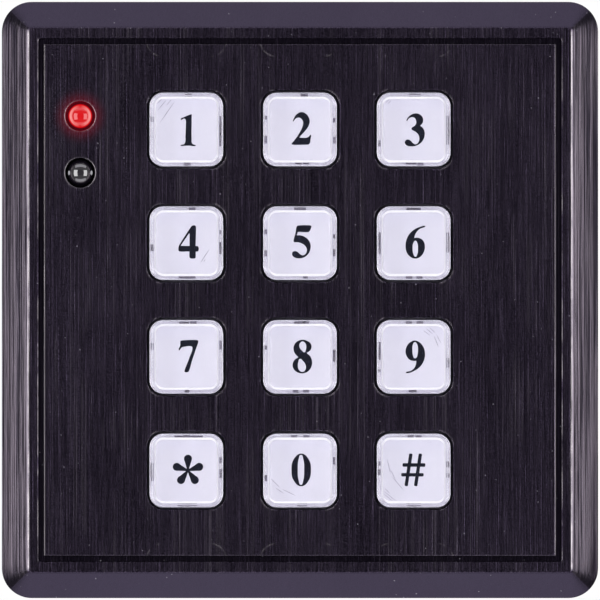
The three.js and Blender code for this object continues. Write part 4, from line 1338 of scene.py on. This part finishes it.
def bar(name, x0, y0, x1, y1, thickness):
    """A straight stroke of ink with rounded corners, between two points."""
    length = math.hypot(x1 - x0, y1 - y0) * MM
    half = Vector((length / 2, 0, thickness * MM / 2))
    obj = block(name, Vector((0, -INK / 2, 0)) - half, Vector((0, INK / 2, 0)) + half)
    with editing(obj, "EDGE"):
        pick_edges(lambda a, b: abs(a.y - b.y) > 1e-6)
        bpy.ops.mesh.bevel(offset=BAR_RADIUS, segments=4, affect="EDGES")
    obj.rotation_euler = (0, -math.atan2(y1 - y0, x1 - x0), 0)
    obj.location = ((x0 + x1) / 2 * MM, 0, (y0 + y1) / 2 * MM)
    choose(obj)
    bpy.ops.object.transform_apply(location=True, rotation=True, scale=False)
    return obj


ink = {name: figure(f"ink_{name}", outlines) for name, outlines in FIGURES.items()}
upright_a = bar("ink_hash", -1.25, -2.6, -0.45, 2.82, 0.57)
upright_b = bar("upright_b", 0.33, -2.6, 1.13, 2.82, 0.57)
level_a = bar("level_a", -1.85, 0.92, 1.95, 0.92, 0.6)
level_b = bar("level_b", -2.07, -0.72, 1.67, -0.72, 0.57)
weld_on(upright_a, upright_b, level_a, level_b)
ink["hash"] = upright_a

for name, obj in ink.items():
    centre = key_centres[name]
    obj.location = (centre.x, film_lo.y - INK / 2, centre.z)
    choose(obj)
    bpy.ops.object.transform_apply(location=True, rotation=True, scale=True)
    finished(obj, legend_ink, f"key_{name}")
print(len(ink), "printed figures")

# %% [markdown]
# ## The two indicator lamps
# Each lamp is a round lens with a domed top that stands just proud of its hole. A cylinder's front edge
# is bevelled until only the dome is left.

# %% Lamps
LENS_RADIUS = 2.4 * MM
DOME_RADIUS = 2.3 * MM


def lamp(name, node, finish):
    """A domed lens on the place of a CAD lamp."""
    lens = rod(name, middle(node), LENS_RADIUS, front(node), back(node), 64)
    with editing(lens, "EDGE"):
        pick_edges(lambda a, b: near(a.y, front(node)) and near(b.y, front(node)))
        bpy.ops.mesh.bevel(offset=DOME_RADIUS, segments=14, affect="EDGES")
    choose(lens)
    bpy.ops.object.shade_smooth_by_angle(angle=math.radians(40))
    return finished(lens, finish, "panel", node)


lamp("lit_lamp", "status_led_upper", red_led_lens)
lamp("dark_lamp", "status_led_lower", dark_led_lens)
print(len(LAMPS), "lamps")

# %% [markdown]
# ## Behind the plate
# What the plate hides keeps its CAD shape. A finer copy has its flat faces made whole again and its sharp
# edges broken, so that it catches the light as a moulded or pressed piece does.

# %% Finer copies
FINER = {
    "rear_housing": (housing_plastic, 0.25),
    "wall_plate": (zinc_steel, 0.12),
    "gasket": (seal_foam, 0.1),
    "keypad_membrane": (silicone_rubber, 0.1),
    "circuit_board": (circuit_laminate, 0.06),
    "antenna_coil": (copper_winding, 0.3),
    "controller_chip": (black_epoxy, 0.05),
    "buzzer": (black_epoxy, 0.2),
    "capacitor": (capacitor_can, 0.3),
    "tamper_photocell": (photocell_ceramic, 0.15),
    "terminal_block": (terminal_plastic, 0.12),
    "security_screw": (black_screw, 0.1),
    **{f"board_screw_{i}": (screw_steel, 0.1) for i in SCREW_NUMBERS},
    **{f"housing_screw_{i}": (screw_steel, 0.1) for i in SCREW_NUMBERS},
}
for node, (finish, edge) in FINER.items():
    finished(finer_copy(node, f"fine_{node}", edge * MM), finish, "panel", node)
print(len(FINER), "finer copies")
